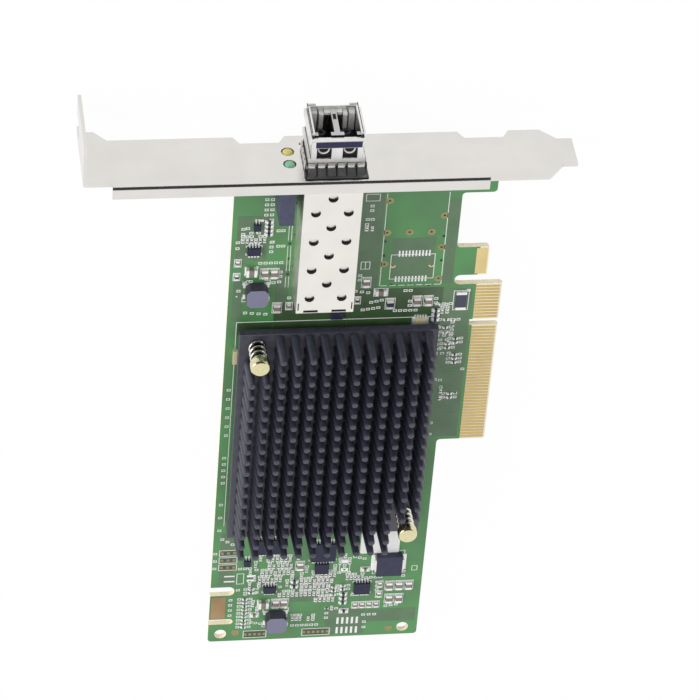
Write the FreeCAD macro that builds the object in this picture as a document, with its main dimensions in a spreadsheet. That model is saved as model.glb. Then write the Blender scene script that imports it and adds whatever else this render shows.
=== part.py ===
"""Single-port fibre channel host adapter with a full-height bracket.

Frame, in millimetres: the origin is the middle of the key slot at the tip of the card edge, half-way
through the board. +X points out of the card edge, +Y points out of the bracket, +Z is up from the
component side.
"""
import FreeCAD
import Part
import Sketcher
import math
import os

from FreeCAD import Rotation
from FreeCAD import Vector

doc = FreeCAD.newDocument("HostAdapter")

# Driving dimensions: name, value in millimetres or a plain count, and what it measures
DIMENSIONS = [
    ("card_length", 167.65, "bracket face to far end of the board"),
    ("card_height", 68.9, "contact tip to the opposite edge of the board"),
    ("board_thickness", 1.57, "bare board"),
    ("key_to_face", 57.6, "middle of the key slot to the bracket's outer face"),
    ("board_setback", 1.24, "bracket's inner face to the front edge of the board"),
    ("edge_reach", 12.5, "contact tongue beyond the body of the board"),
    ("key_width", 1.9, "key slot in the tongue"),
    ("key_depth", 8.0, "key slot from the contact tip"),
    ("short_run", 11.65, "tongue on the bracket side of the key"),
    ("long_run", 38.65, "tongue on the far side of the key"),
    ("tongue_slot_width", 3.0, "slot between tongue and short tab"),
    ("tongue_slot_depth", 12.3, "same slot from the contact tip"),
    ("short_tab_width", 9.0, "short tab along the edge"),
    ("short_tab_drop", 4.2, "short tab behind the contact tip"),
    ("ear_width", 13.5, "ear beside the bracket, along the edge"),
    ("ear_drop", 3.9, "ear behind the contact tip"),
    ("edge_bevel", 0.5, "bevel of the contact tip"),
    ("board_corner", 1.0, "corner radius of the board"),
    ("corner_tab_start", 6.3, "far end of the board to the lower corner slot"),
    ("corner_tab_width", 8.8, "small tab between the corner slots"),
    ("lower_slot_width", 1.85, "corner slot nearest the far end"),
    ("upper_slot_width", 3.1, "corner slot on the other side of the small tab"),
    ("corner_slot_depth", 6.4, "both corner slots"),
    ("tooling_hole", 3.2, "hole diameter at the far corners"),
    ("tooling_inset_end", 2.7, "tooling hole centre from the far end"),
    ("tooling_inset_side", 3.3, "tooling hole centre from the long edge"),
    ("tooling_spacing", 49.1, "between the two tooling holes"),
    ("contact_pitch", 1.0, "card edge contacts"),
    ("contact_width", 0.7, "one contact"),
    ("contact_length", 6.1, "one contact"),
    ("short_contacts", 11, "contacts on the bracket side of the key"),
    ("long_contacts", 38, "contacts on the far side of the key"),
    ("plating", 0.06, "thickness of contacts and bare pads"),
    ("tab_plating_length", 2.8, "gold on the short tab"),
    ("pad_inset", 0.4, "bare pads from the edge of their tab"),
    ("copper_pad_length", 3.8, "bare copper on the small corner tab"),
    ("bracket_length", 120.02, "bent tab to tongue tip"),
    ("bracket_width", 18.42, "main face of the bracket"),
    ("bracket_sheet", 0.86, "sheet thickness"),
    ("bracket_under", 3.6, "main face below the middle of the board"),
    ("bracket_past_tip", 13.08, "tongue tip beyond the contact tip"),
    ("end_under", 7.0, "wide end below the middle of the board"),
    ("end_width", 20.2, "wide end of the bracket"),
    ("end_length", 7.0, "wide end along the bracket"),
    ("end_chamfer", 3.0, "slope from the wide end to the main face"),
    ("bracket_tongue", 7.6, "narrowing end of the bracket"),
    ("tongue_tip_length", 3.7, "straight tip of the tongue"),
    ("tongue_tip_width", 10.0, "tip of the tongue"),
    ("tongue_tip_rise", 3.7, "lower edge of the tip above the main face's edge"),
    ("screw_tab", 11.43, "bent tab beyond the outer face"),
    ("screw_notch_width", 4.42, "open notch for the slot screw"),
    ("screw_notch_depth", 6.4, "notch from the tab's edge"),
    ("screw_notch_reach", 4.2, "notch centre beyond the outer face"),
    ("flange_length", 90.9, "stiffening flange along the bracket"),
    ("flange_depth", 3.4, "flange from the outer face"),
    ("bend_radius", 0.8, "outside of the bends"),
    ("ear_tab_width", 10.2, "mounting ear folded under the board"),
    ("ear_tab_depth", 12.0, "mounting ear from the outer face"),
    ("ear_relief", 1.2, "slope at each side of a mounting ear's fold"),
    ("ear_tab_inset", 0.5, "outer mounting ear inside the board's long edge"),
    ("inner_ear_past", 0.6, "inner mounting ear beyond the board's ear tip"),
    ("screw_hole", 2.9, "board hole for a bracket screw"),
    ("screw_shank", 2.4, "bracket screw"),
    ("screw_tapping", 2.46, "tapped hole in a mounting ear"),
    ("screw_head", 4.8, "head diameter"),
    ("screw_head_height", 1.6, "head height"),
    ("screw_reach", 6.6, "screw centre from the outer face"),
    ("port_from_edge", 22.8, "port centre from the board's long edge"),
    ("port_pitch", 22.7, "fitted port to the bare port place"),
    ("cage_width", 14.3, "outside of the cage"),
    ("cage_height", 9.7, "cage above the board"),
    ("cage_sheet", 0.25, "cage wall"),
    ("cage_rear", 44.6, "back of the cage from the outer face"),
    ("cage_mouth", 0.9, "cage beyond the outer face"),
    ("vent_diameter", 2.5, "round vents in the cage"),
    ("vent_pitch", 8.95, "vents along a column"),
    ("vent_column", 4.0, "side columns from the middle one"),
    ("vent_first", 8.5, "first middle vent from the outer face"),
    ("rear_slot_width", 3.6, "two openings at the back edge of the cage"),
    ("rear_slot_depth", 0.9, "same openings, along the cage"),
    ("rear_slot_drop", 1.5, "same openings, down the back wall"),
    ("rear_slot_spread", 3.5, "same openings, from the middle of the cage"),
    ("cage_pin_width", 0.6, "board pin of the cage"),
    ("cage_pin_reach", 0.9, "board pin below the board"),
    ("cage_pin_pitch", 10.1, "board pins along one wall"),
    ("cage_pin_first", 17.5, "first pin of the outer wall from the outer face"),
    ("cage_pin_stagger", 5.1, "inner wall's pins behind the outer wall's"),
    ("cage_pin_hole", 1.05, "plated hole for a board pin"),
    ("floor_gap", 0.05, "cage floor inside the walls"),
    ("opening_width", 15.4, "bracket opening for the cage"),
    ("opening_low", 0.9, "opening below the middle of the board"),
    ("opening_high", 13.7, "opening above the middle of the board"),
    ("spring_sheet", 0.15, "grounding collar"),
    ("collar_length", 2.6, "band of the collar round the cage"),
    ("finger_crest", 2.0, "finger bend beyond the outer face"),
    ("finger_back", 0.5, "free end of a finger behind the outer face"),
    ("finger_clear", 0.1, "free end of a finger from the opening's edge"),
    ("finger_gap", 0.45, "between neighbouring fingers"),
    ("wide_fingers", 6, "fingers above and below the cage"),
    ("tall_fingers", 4, "fingers at each side of the cage"),
    ("socket_width", 10.6, "host connector"),
    ("socket_height", 6.6, "host connector above the board"),
    ("socket_depth", 7.6, "host connector along the cage"),
    ("socket_clear", 2.0, "host connector in front of the cage's back wall"),
    ("socket_contacts", 10, "contacts in each row of the host connector"),
    ("socket_pitch", 0.8, "host connector contacts"),
    ("plug_width", 9.2, "plug edge of the transceiver board"),
    ("plug_thickness", 1.0, "transceiver board"),
    ("plug_height", 4.6, "underside of the transceiver board above the adapter board"),
    ("plug_entry", 5.6, "plug edge inside the host connector"),
    ("plug_clear", 0.3, "slot of the host connector round the plug edge"),
    ("module_gap", 0.25, "transceiver inside the cage walls"),
    ("module_wall", 1.0, "wall of the transceiver housing"),
    ("lid_sheet", 0.4, "transceiver lid"),
    ("nose_reach", 11.0, "front of the nose beyond the outer face"),
    ("nose_length", 8.4, "nose in front of its shoulder"),
    ("nose_shoulder", 1.3, "full-width shoulder behind the bail arms"),
    ("nose_width", 13.7, "nose over the bail arms"),
    ("nose_under", 2.1, "nose below the middle of the board"),
    ("nose_top", 10.4, "nose above the middle of the board"),
    ("nose_wall", 0.65, "side walls of the nose"),
    ("nose_floor", 1.3, "lower wall of the nose"),
    ("nose_roof", 0.8, "upper wall of the nose"),
    ("heel_width", 2.1, "raised heel at each lower corner of the nose"),
    ("heel_rise", 1.0, "step between the heels"),
    ("heel_length", 5.0, "step between the heels, along the nose"),
    ("fibre_pitch", 6.25, "between the two fibre ports"),
    ("latch_slot_width", 3.1, "slot for a fibre plug's latch"),
    ("window_width", 3.6, "latch window in the roof of the nose"),
    ("window_length", 3.2, "latch window along the nose"),
    ("window_back", 4.1, "latch window behind the front of the nose"),
    ("divider_wall", 1.4, "wall between the fibre ports"),
    ("latch_slot_depth", 1.2, "same slot, down from the roof"),
    ("receptacle_back", 1.0, "back plate of the fibre receptacle"),
    ("fit_gap", 0.05, "moulded receptacle in the nose"),
    ("sleeve_outside", 2.5, "ferrule sleeve"),
    ("sleeve_bore", 1.25, "ferrule"),
    ("sleeve_length", 1.6, "sleeve in front of the back plate"),
    ("sleeve_height", 3.4, "sleeve centre above the cavity's floor"),
    ("bail_sheet", 0.6, "arm of the bail"),
    ("bail_bar", 0.9, "cross bar along the nose"),
    ("bail_setback", 1.2, "cross bar behind the front of the nose"),
    ("bail_bar_height", 0.55, "cross bar"),
    ("bail_arm_width", 2.0, "arm of the bail"),
    ("bail_pivot_back", 1.8, "bail pivot behind the front of the nose"),
    ("bail_pivot_rise", 1.2, "bail pivot above the nose's lower edge"),
    ("bail_pin", 1.2, "pivot stub"),
    ("bail_pin_gap", 0.06, "bail hole round the stub"),
    ("bail_gap", 0.06, "arm beside the nose"),
    ("bail_ledge", 0.25, "free room under the cross bar"),
    ("led_from_cage", 3.6, "indicator centre from the cage wall"),
    ("led_lens", 3.0, "lens"),
    ("led_hole", 3.3, "hole in the bracket"),
    ("led_height", 1.75, "lower lens centre above the board"),
    ("led_pitch", 4.8, "between the two lens centres"),
    ("led_lens_length", 7.0, "lens behind the outer face"),
    ("led_dome", 0.4, "lens beyond the outer face"),
    ("holder_width", 3.6, "indicator holder"),
    ("holder_front", 2.5, "indicator holder behind the outer face"),
    ("holder_back", 17.6, "end of the holder behind the outer face"),
    ("holder_top", 1.9, "holder above the upper lens centre"),
    ("lens_gap", 0.05, "holder round a lens"),
    ("chip_side", 27.0, "controller package"),
    ("chip_height", 1.85, "controller package"),
    ("pad_side", 24.0, "thermal pad"),
    ("pad_thickness", 0.2, "thermal pad"),
    ("sink_margin_x", 2.55, "heat sink base beyond the outer pins, across the board"),
    ("sink_margin_y", 1.5, "heat sink base beyond the outer pins, along the board"),
    ("sink_base", 2.2, "heat sink base"),
    ("sink_from_edge", 2.9, "heat sink from the board's long edge"),
    ("sink_from_key", 1.6, "heat sink front edge on the bracket side of the key"),
    ("sink_from_tongue", 3.28, "heat sink from the contact tongue"),
    ("rear_strip", 42.05, "board beyond the heat sink, for the parts at the far end"),
    ("pin_columns", 13, "cooling pins across the board"),
    ("pin_rows", 19, "cooling pins along the board"),
    ("pin_foot", 2.2, "side of a cooling pin at the base"),
    ("pin_height", 9.5, "cooling pin"),
    ("pin_taper", 1.6, "draft of a cooling pin, in degrees"),
    ("clear_columns", 2, "columns left free for a push pin"),
    ("clear_rows", 2, "rows left free for the first push pin"),
    ("clear_rows_far", 3, "rows left free for the second push pin"),
    ("push_cap", 5.0, "push pin cap"),
    ("push_cap_height", 1.3, "push pin cap"),
    ("push_stem", 2.4, "push pin stem"),
    ("push_hole", 2.8, "push pin holes in the board and the heat sink"),
    ("push_top", 0.3, "cap below the tips of the cooling pins"),
    ("barb_width", 3.3, "barb under the board"),
    ("barb_length", 2.0, "barb under the board"),
    ("coil_outside", 4.5, "spring"),
    ("coil_wire", 0.55, "spring wire"),
    ("coil_turns", 4.5, "spring"),
    ("inductor_side", 5.4, "power inductor"),
    ("inductor_height", 3.4, "power inductor"),
    ("inductor_corner", 1.0, "power inductor's upright edges"),
    ("choke_side", 6.8, "filter choke"),
    ("choke_height", 2.0, "filter choke"),
    ("placement_grid", 0.1, "step in which the parts on the board are placed"),
    ("chip_thickness", 1.0, "small integrated circuits above the board"),
    ("memory_width", 6.6, "larger memory chip, across the board"),
    ("memory_depth", 6.2, "larger memory chip, along the board"),
    ("small_memory_width", 3.6, "smaller memory chip, across the board"),
    ("small_memory_depth", 3.4, "smaller memory chip, along the board"),
    ("regulator_width", 6.2, "larger regulator, across the board"),
    ("regulator_depth", 5.0, "larger regulator, along the board"),
    ("small_regulator_width", 4.2, "smaller regulators, across the board"),
    ("small_regulator_depth", 3.8, "smaller regulators, along the board"),
    ("driver_width", 3.2, "driver chips, across the board"),
    ("driver_depth", 2.2, "driver chips, along the board"),
    ("transistor_width", 1.7, "transistor, across the board"),
    ("transistor_depth", 2.0, "transistor, along the board"),
    ("sense_width", 2.6, "sense resistor, across the board"),
    ("sense_depth", 5.0, "sense resistor, along the board"),
    ("oscillator_width", 3.4, "oscillator, across the board"),
    ("oscillator_depth", 2.2, "oscillator, along the board"),
    ("passive_height", 0.7, "chip capacitors above the board"),
    ("capacitor_width", 1.6, "larger chip capacitors, across the board"),
    ("capacitor_depth", 2.6, "larger chip capacitors, along the board"),
    ("small_capacitor_width", 1.0, "smaller chip capacitors, across the board"),
    ("small_capacitor_depth", 1.7, "smaller chip capacitors, along the board"),
    ("resistor_height", 0.5, "chip resistors above the board"),
    ("resistor_width", 1.6, "chip resistor, across the board"),
    ("resistor_depth", 0.8, "chip resistor, along the board"),
]


class Length:
    """A size that carries both its value and the spreadsheet formula that gives it."""

    def __init__(self, text, value):
        self.text = text
        self.value = value

    def __add__(self, other):
        other = as_length(other)
        return Length(f"({self.text} + {other.text})", self.value + other.value)

    def __sub__(self, other):
        other = as_length(other)
        return Length(f"({self.text} - {other.text})", self.value - other.value)

    def __mul__(self, other):
        other = as_length(other)
        return Length(f"({self.text} * {other.text})", self.value * other.value)

    def __truediv__(self, other):
        other = as_length(other)
        return Length(f"({self.text} / {other.text})", self.value / other.value)

    def __neg__(self):
        return Length(f"(0 - {self.text})", -self.value)

    def __rsub__(self, other):
        return as_length(other) - self

    __radd__ = __add__
    __rmul__ = __mul__


def as_length(number):
    """Give a plain number the form of a Length."""
    if isinstance(number, Length):
        return number
    return Length(f"({number!r})", float(number))


def make_sheet():
    """Write the driving dimensions to a spreadsheet and return them by name."""
    sheet = doc.addObject("Spreadsheet::Sheet", "Sizes")
    sizes = {}
    for row, (name, value, meaning) in enumerate(DIMENSIONS, start=1):
        sheet.set(f"A{row}", meaning)
        sheet.set(f"B{row}", str(value))
        sheet.setAlias(f"B{row}", name)
        sizes[name] = Length(f"Sizes.{name}", value)
    doc.recompute()
    return sizes


SIZES = make_sheet()


def size(name):
    """One driving dimension."""
    return SIZES[name]


def count(name):
    """One driving count, as a whole number."""
    return int(round(SIZES[name].value))


def bind(item, prop, length):
    """Tie a property to the spreadsheet."""
    item.setExpression(prop, as_length(length).text)


def place(item, corner):
    """Tie an item's position to the spreadsheet."""
    for axis, length in zip("xyz", corner):
        bind(item, f"Placement.Base.{axis}", length)


def box(label, x, y, z):
    """A block given by its lower and upper limits along each axis."""
    item = doc.addObject("Part::Box", label)
    for prop, (low, high) in zip(("Length", "Width", "Height"), (x, y, z)):
        bind(item, prop, as_length(high) - low)
    place(item, (x[0], y[0], z[0]))
    return item


# Sides of round pieces: plain to see, small, and very small
FINE_SIDES = 24
SMALL_SIDES = 10
TINY_SIDES = 6

TURN_TO_AXIS = {"x": Rotation(Vector(0, 1, 0), 90), "y": Rotation(Vector(1, 0, 0), -90), "z": Rotation()}


def rod(label, start, axis, diameter, length):
    """A cylinder that starts at a point and runs along one axis."""
    item = doc.addObject("Part::Cylinder", label)
    item.Placement.Rotation = TURN_TO_AXIS[axis]
    bind(item, "Radius", as_length(diameter) / 2)
    bind(item, "Height", length)
    place(item, start)
    return item


def prism(label, start, axis, across, length, sides):
    """A many-sided rod, given across its corners, for round pieces too small to need a true circle."""
    item = doc.addObject("Part::Prism", label)
    item.Polygon = sides
    item.Placement.Rotation = TURN_TO_AXIS[axis]
    bind(item, "Circumradius", as_length(across) / 2)
    bind(item, "Height", length)
    place(item, start)
    return item


def fuse(label, items):
    """One solid made of several that meet."""
    item = doc.addObject("Part::MultiFuse", label)
    item.Shapes = items
    item.Refine = True
    return item


def cut(label, base, tools):
    """A solid less one or more tools."""
    item = doc.addObject("Part::Cut", label)
    item.Base = base
    item.Tool = tools[0] if len(tools) == 1 else fuse(f"{label}_tools", tools)
    item.Refine = True
    return item


def group(label, items):
    """Separate solids that share one sub-part."""
    item = doc.addObject("Part::Compound", label)
    item.Links = items
    return item


def round_slot(label, x_mouth, x_end, y_low, y_high):
    """A slot along X with a round end, cut through the whole board."""
    radius = (y_high - y_low) / 2
    heading = 1 if as_length(x_end).value > as_length(x_mouth).value else -1
    centre_x = x_end - radius * heading
    low = (x_mouth, centre_x) if heading > 0 else (centre_x, x_mouth)
    run = box(f"{label}_run", low, (y_low, y_high), THROUGH_BOARD)
    end = rod(f"{label}_end", (centre_x, (y_low + y_high) / 2, THROUGH_BOARD[0]), "z", radius * 2,
              THROUGH_BOARD[1] - THROUGH_BOARD[0])
    return fuse(label, [run, end])


def board_hole(label, x, y, diameter, sides):
    """A small hole through the board."""
    return prism(label, (x, y, THROUGH_BOARD[0]), "z", diameter, THROUGH_BOARD[1] - THROUGH_BOARD[0], sides)


def body_plane(body, role):
    """One of a body's own origin planes."""
    return next(plane for plane in body.Origin.OriginFeatures if plane.Role == role)


def sketch_on(body, label, role, offset):
    """An empty sketch on an origin plane, moved along the plane's normal."""
    sketch = body.newObject("Sketcher::SketchObject", label)
    sketch.AttachmentSupport = [(body_plane(body, role), "")]
    sketch.MapMode = "FlatFace"
    bind(sketch, "AttachmentOffset.Base.z", offset)
    return sketch


def draw_outline(sketch, points):
    """A closed outline whose corners are all tied to the spreadsheet."""
    points = [(as_length(across), as_length(along)) for across, along in points]
    corners = [Vector(across.value, along.value, 0) for across, along in points]
    first = sketch.GeometryCount
    last = len(corners) - 1
    for index, corner in enumerate(corners):
        sketch.addGeometry(Part.LineSegment(corner, corners[(index + 1) % len(corners)]))
    for index in range(len(corners)):
        following = first + (index + 1 if index < last else 0)
        sketch.addConstraint(Sketcher.Constraint("Coincident", first + index, 2, following, 1))
    for index, pair in enumerate(points):
        for kind, length in zip(("DistanceX", "DistanceY"), pair):
            rule = Sketcher.Constraint(kind, -1, 1, first + index, 1, length.value)
            number = sketch.addConstraint(rule)
            bind(sketch, f"Constraints[{number}]", length)


def pad(body, label, sketch, length):
    """Raise a sketch along its plane's normal."""
    feature = body.newObject("PartDesign::Pad", label)
    feature.Profile = sketch
    bind(feature, "Length", length)
    body.Tip = feature
    return feature


def edges_where(shape, test):
    """The names of the edges whose two ends both pass a test."""
    names = []
    for number, edge in enumerate(shape.Edges, start=1):
        if len(edge.Vertexes) == 2 and all(test(vertex.Point) for vertex in edge.Vertexes):
            names.append(f"Edge{number}")
    return names


def near(first, second):
    """Two coordinates that are the same but for rounding."""
    return abs(first - as_length(second).value) < 1e-4


SUBPARTS = []


def subpart(item, label):
    """Name a finished sub-part, which names its file."""
    item.Label = label
    SUBPARTS.append(item)
    return item


# Levels and edges that several sub-parts share
BOARD_TOP = size("board_thickness") / 2
BOARD_UNDER = -BOARD_TOP
THROUGH_BOARD = (BOARD_UNDER - 1, BOARD_TOP + 1)
BOARD_LEFT = -size("card_height")
BODY_RIGHT = -size("edge_reach")
FACE = size("key_to_face")
FACE_INSIDE = FACE - size("bracket_sheet")
BOARD_FRONT = FACE_INSIDE - size("board_setback")
BOARD_FAR = FACE - size("card_length")
LONG_END = -(size("key_width") / 2 + size("long_run"))
SHORT_END = size("key_width") / 2 + size("short_run")
SHORT_TAB_LOW = SHORT_END + size("tongue_slot_width")
SHORT_TAB_HIGH = SHORT_TAB_LOW + size("short_tab_width")
EAR_LOW = BOARD_FRONT - size("ear_width")
PORT_X = BOARD_LEFT + size("port_from_edge")
BARE_PORT_X = PORT_X + size("port_pitch")
CAGE_TOP = BOARD_TOP + size("cage_height")
CAGE_BACK = FACE - size("cage_rear")
CAGE_FRONT = FACE + size("cage_mouth")
CAGE_HALF = size("cage_width") / 2
LOWER_SLOT_LOW = BOARD_FAR + size("corner_tab_start")
LOWER_SLOT_HIGH = LOWER_SLOT_LOW + size("lower_slot_width")
UPPER_SLOT_LOW = LOWER_SLOT_HIGH + size("corner_tab_width")
UPPER_SLOT_HIGH = UPPER_SLOT_LOW + size("upper_slot_width")
SCREW_Y = FACE - size("screw_reach")
OUTER_EAR = (BOARD_LEFT + size("ear_tab_inset"), BOARD_LEFT + size("ear_tab_inset") + size("ear_tab_width"))
INNER_EAR_END = size("inner_ear_past") - size("ear_drop")
INNER_EAR = (INNER_EAR_END - size("ear_tab_width"), INNER_EAR_END)
SCREW_XS = [(low + high) / 2 for low, high in (OUTER_EAR, INNER_EAR)]
CHIP_TOP = BOARD_TOP + size("chip_height")
SINK_UNDER = CHIP_TOP + size("pad_thickness")
SINK_TOP = SINK_UNDER + size("sink_base")
PIN_TIP = SINK_TOP + size("pin_height")
SINK_LEFT = BOARD_LEFT + size("sink_from_edge")
SINK_RIGHT = BODY_RIGHT - size("sink_from_tongue")
SINK_FRONT = size("sink_from_key")
SINK_FAR = BOARD_FAR + size("rear_strip")
PIN_PITCH_X = (SINK_RIGHT - SINK_LEFT - size("sink_margin_x") * 2) / (size("pin_columns") - 1)
PIN_PITCH_Y = (SINK_FRONT - SINK_FAR - size("sink_margin_y") * 2) / (size("pin_rows") - 1)
FIRST_PIN_X = SINK_LEFT + size("sink_margin_x")
FIRST_PIN_Y = SINK_FRONT - size("sink_margin_y")


def pin_place(column, row):
    """Centre of a cooling pin, counted from the corner by the first push pin."""
    return FIRST_PIN_X + PIN_PITCH_X * column, FIRST_PIN_Y - PIN_PITCH_Y * row


PUSH_PLACES = [
    pin_place((size("clear_columns") - 1) / 2, (size("clear_rows") - 1) / 2),
    pin_place(size("pin_columns") - (size("clear_columns") + 1) / 2,
              size("pin_rows") - size("clear_rows_far") + (size("clear_rows") - 1) / 2),
]


def cage_pins(centre):
    """Board pin places of one port: the outer wall's, then the inner wall's."""
    first = FACE - size("cage_pin_first")
    wall = CAGE_HALF - size("cage_sheet") / 2
    outer = [(centre - wall, first - size("cage_pin_pitch") * step) for step in range(3)]
    inner = [(centre + wall, y - size("cage_pin_stagger")) for x, y in outer]
    return outer + inner


# Circuit board
def make_circuit_board():
    body = doc.addObject("PartDesign::Body", "BoardBlank")
    sketch = sketch_on(body, "BoardOutline", "XY_Plane", BOARD_UNDER)
    draw_outline(sketch, [
        (BOARD_LEFT, BOARD_FAR),
        (BODY_RIGHT, BOARD_FAR),
        (BODY_RIGHT, LONG_END),
        (0, LONG_END),
        (0, SHORT_END),
        (-size("short_tab_drop"), SHORT_END),
        (-size("short_tab_drop"), SHORT_TAB_HIGH),
        (BODY_RIGHT, SHORT_TAB_HIGH),
        (BODY_RIGHT, EAR_LOW),
        (-size("ear_drop"), EAR_LOW),
        (-size("ear_drop"), BOARD_FRONT),
        (BOARD_LEFT, BOARD_FRONT),
    ])
    blank = pad(body, "BoardPad", sketch, size("board_thickness"))
    doc.recompute()

    bevel = body.newObject("PartDesign::Chamfer", "ContactBevel")
    tip_edges = edges_where(blank.Shape, lambda point: near(point.x, 0))
    bevel.Base = (blank, [name for name in tip_edges if is_level(blank, name)])
    bind(bevel, "Size", size("edge_bevel"))
    body.Tip = bevel
    doc.recompute()

    rounded = [(BOARD_LEFT, BOARD_FAR), (BODY_RIGHT, BOARD_FAR), (BODY_RIGHT, LONG_END),
               (BODY_RIGHT, SHORT_TAB_HIGH), (-size("short_tab_drop"), SHORT_TAB_HIGH),
               (BODY_RIGHT, EAR_LOW), (-size("ear_drop"), EAR_LOW), (BOARD_LEFT, BOARD_FRONT)]
    corner_edges = edges_where(bevel.Shape, lambda point: any(
        near(point.x, x) and near(point.y, y) for x, y in rounded))
    corners = body.newObject("PartDesign::Fillet", "BoardCorners")
    corners.Base = (bevel, [name for name in corner_edges if not is_level(bevel, name)])
    bind(corners, "Radius", size("board_corner"))
    body.Tip = corners

    key_half = size("key_width") / 2
    slot_end = BOARD_LEFT + size("corner_slot_depth")
    tools = [
        round_slot("KeySlot", as_length(1), -size("key_depth"), -key_half, key_half),
        round_slot("TongueSlot", as_length(1), -size("tongue_slot_depth"), SHORT_END, SHORT_TAB_LOW),
        round_slot("LowerCornerSlot", BOARD_LEFT - 1, slot_end, LOWER_SLOT_LOW, LOWER_SLOT_HIGH),
        round_slot("UpperCornerSlot", BOARD_LEFT - 1, slot_end, UPPER_SLOT_LOW, UPPER_SLOT_HIGH),
    ]
    tooling_x = BOARD_LEFT + size("tooling_inset_side")
    tooling_y = BOARD_FAR + size("tooling_inset_end")
    for step in range(2):
        start = (tooling_x + size("tooling_spacing") * step, tooling_y, THROUGH_BOARD[0])
        tools.append(rod(f"ToolingHole{step}", start, "z", size("tooling_hole"),
                         THROUGH_BOARD[1] - THROUGH_BOARD[0]))
    for step, x in enumerate(SCREW_XS):
        tools.append(board_hole(f"ScrewHole{step}", x, SCREW_Y, size("screw_hole"), SMALL_SIDES))
    for step, (x, y) in enumerate(PUSH_PLACES):
        tools.append(board_hole(f"PushHole{step}", x, y, size("push_hole"), SMALL_SIDES))
    for step, (x, y) in enumerate(cage_pins(PORT_X) + cage_pins(BARE_PORT_X)):
        tools.append(board_hole(f"CageHole{step}", x, y, size("cage_pin_hole"), TINY_SIDES))
    subpart(cut("Board", body, tools), "circuit_board")


def is_level(feature, name):
    """True for an edge that runs at one height."""
    ends = feature.Shape.getElement(name).Vertexes
    return abs(ends[0].Z - ends[1].Z) < 1e-4


# Contacts and bare pads on both faces of the board
def plated(label, x, y):
    """A thin pad on the upper face of the board and its twin below."""
    upper = box(f"{label}Upper", x, y, (BOARD_TOP, BOARD_TOP + size("plating")))
    lower = box(f"{label}Lower", x, y, (BOARD_UNDER - size("plating"), BOARD_UNDER))
    return [upper, lower]


def make_contacts():
    half = size("contact_width") / 2
    reach = (-size("edge_bevel") - size("contact_length"), -size("edge_bevel"))
    runs = [(size("key_width") / 2 + size("short_run") / 2, count("short_contacts")),
            (-(size("key_width") / 2 + size("long_run") / 2), count("long_contacts"))]
    contacts = []
    for middle, amount in runs:
        for step in range(amount):
            y = middle + size("contact_pitch") * (step - (amount - 1) / 2)
            contacts += plated(f"Contact{len(contacts)}", reach, (y - half, y + half))
    subpart(group("Contacts", contacts), "edge_contacts")

    inset = size("pad_inset")
    tip = -size("short_tab_drop") - inset
    gold = plated("TabGold", (tip - size("tab_plating_length"), tip),
                  (SHORT_TAB_LOW + inset, SHORT_TAB_HIGH - inset))
    subpart(group("TabGold", gold), "short_tab_plating")
    edge = BOARD_LEFT + inset
    copper = plated("CornerCopper", (edge, edge + size("copper_pad_length")),
                    (LOWER_SLOT_HIGH + inset, UPPER_SLOT_LOW - inset))
    subpart(group("CornerCopper", copper), "corner_tab_plating")


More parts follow.
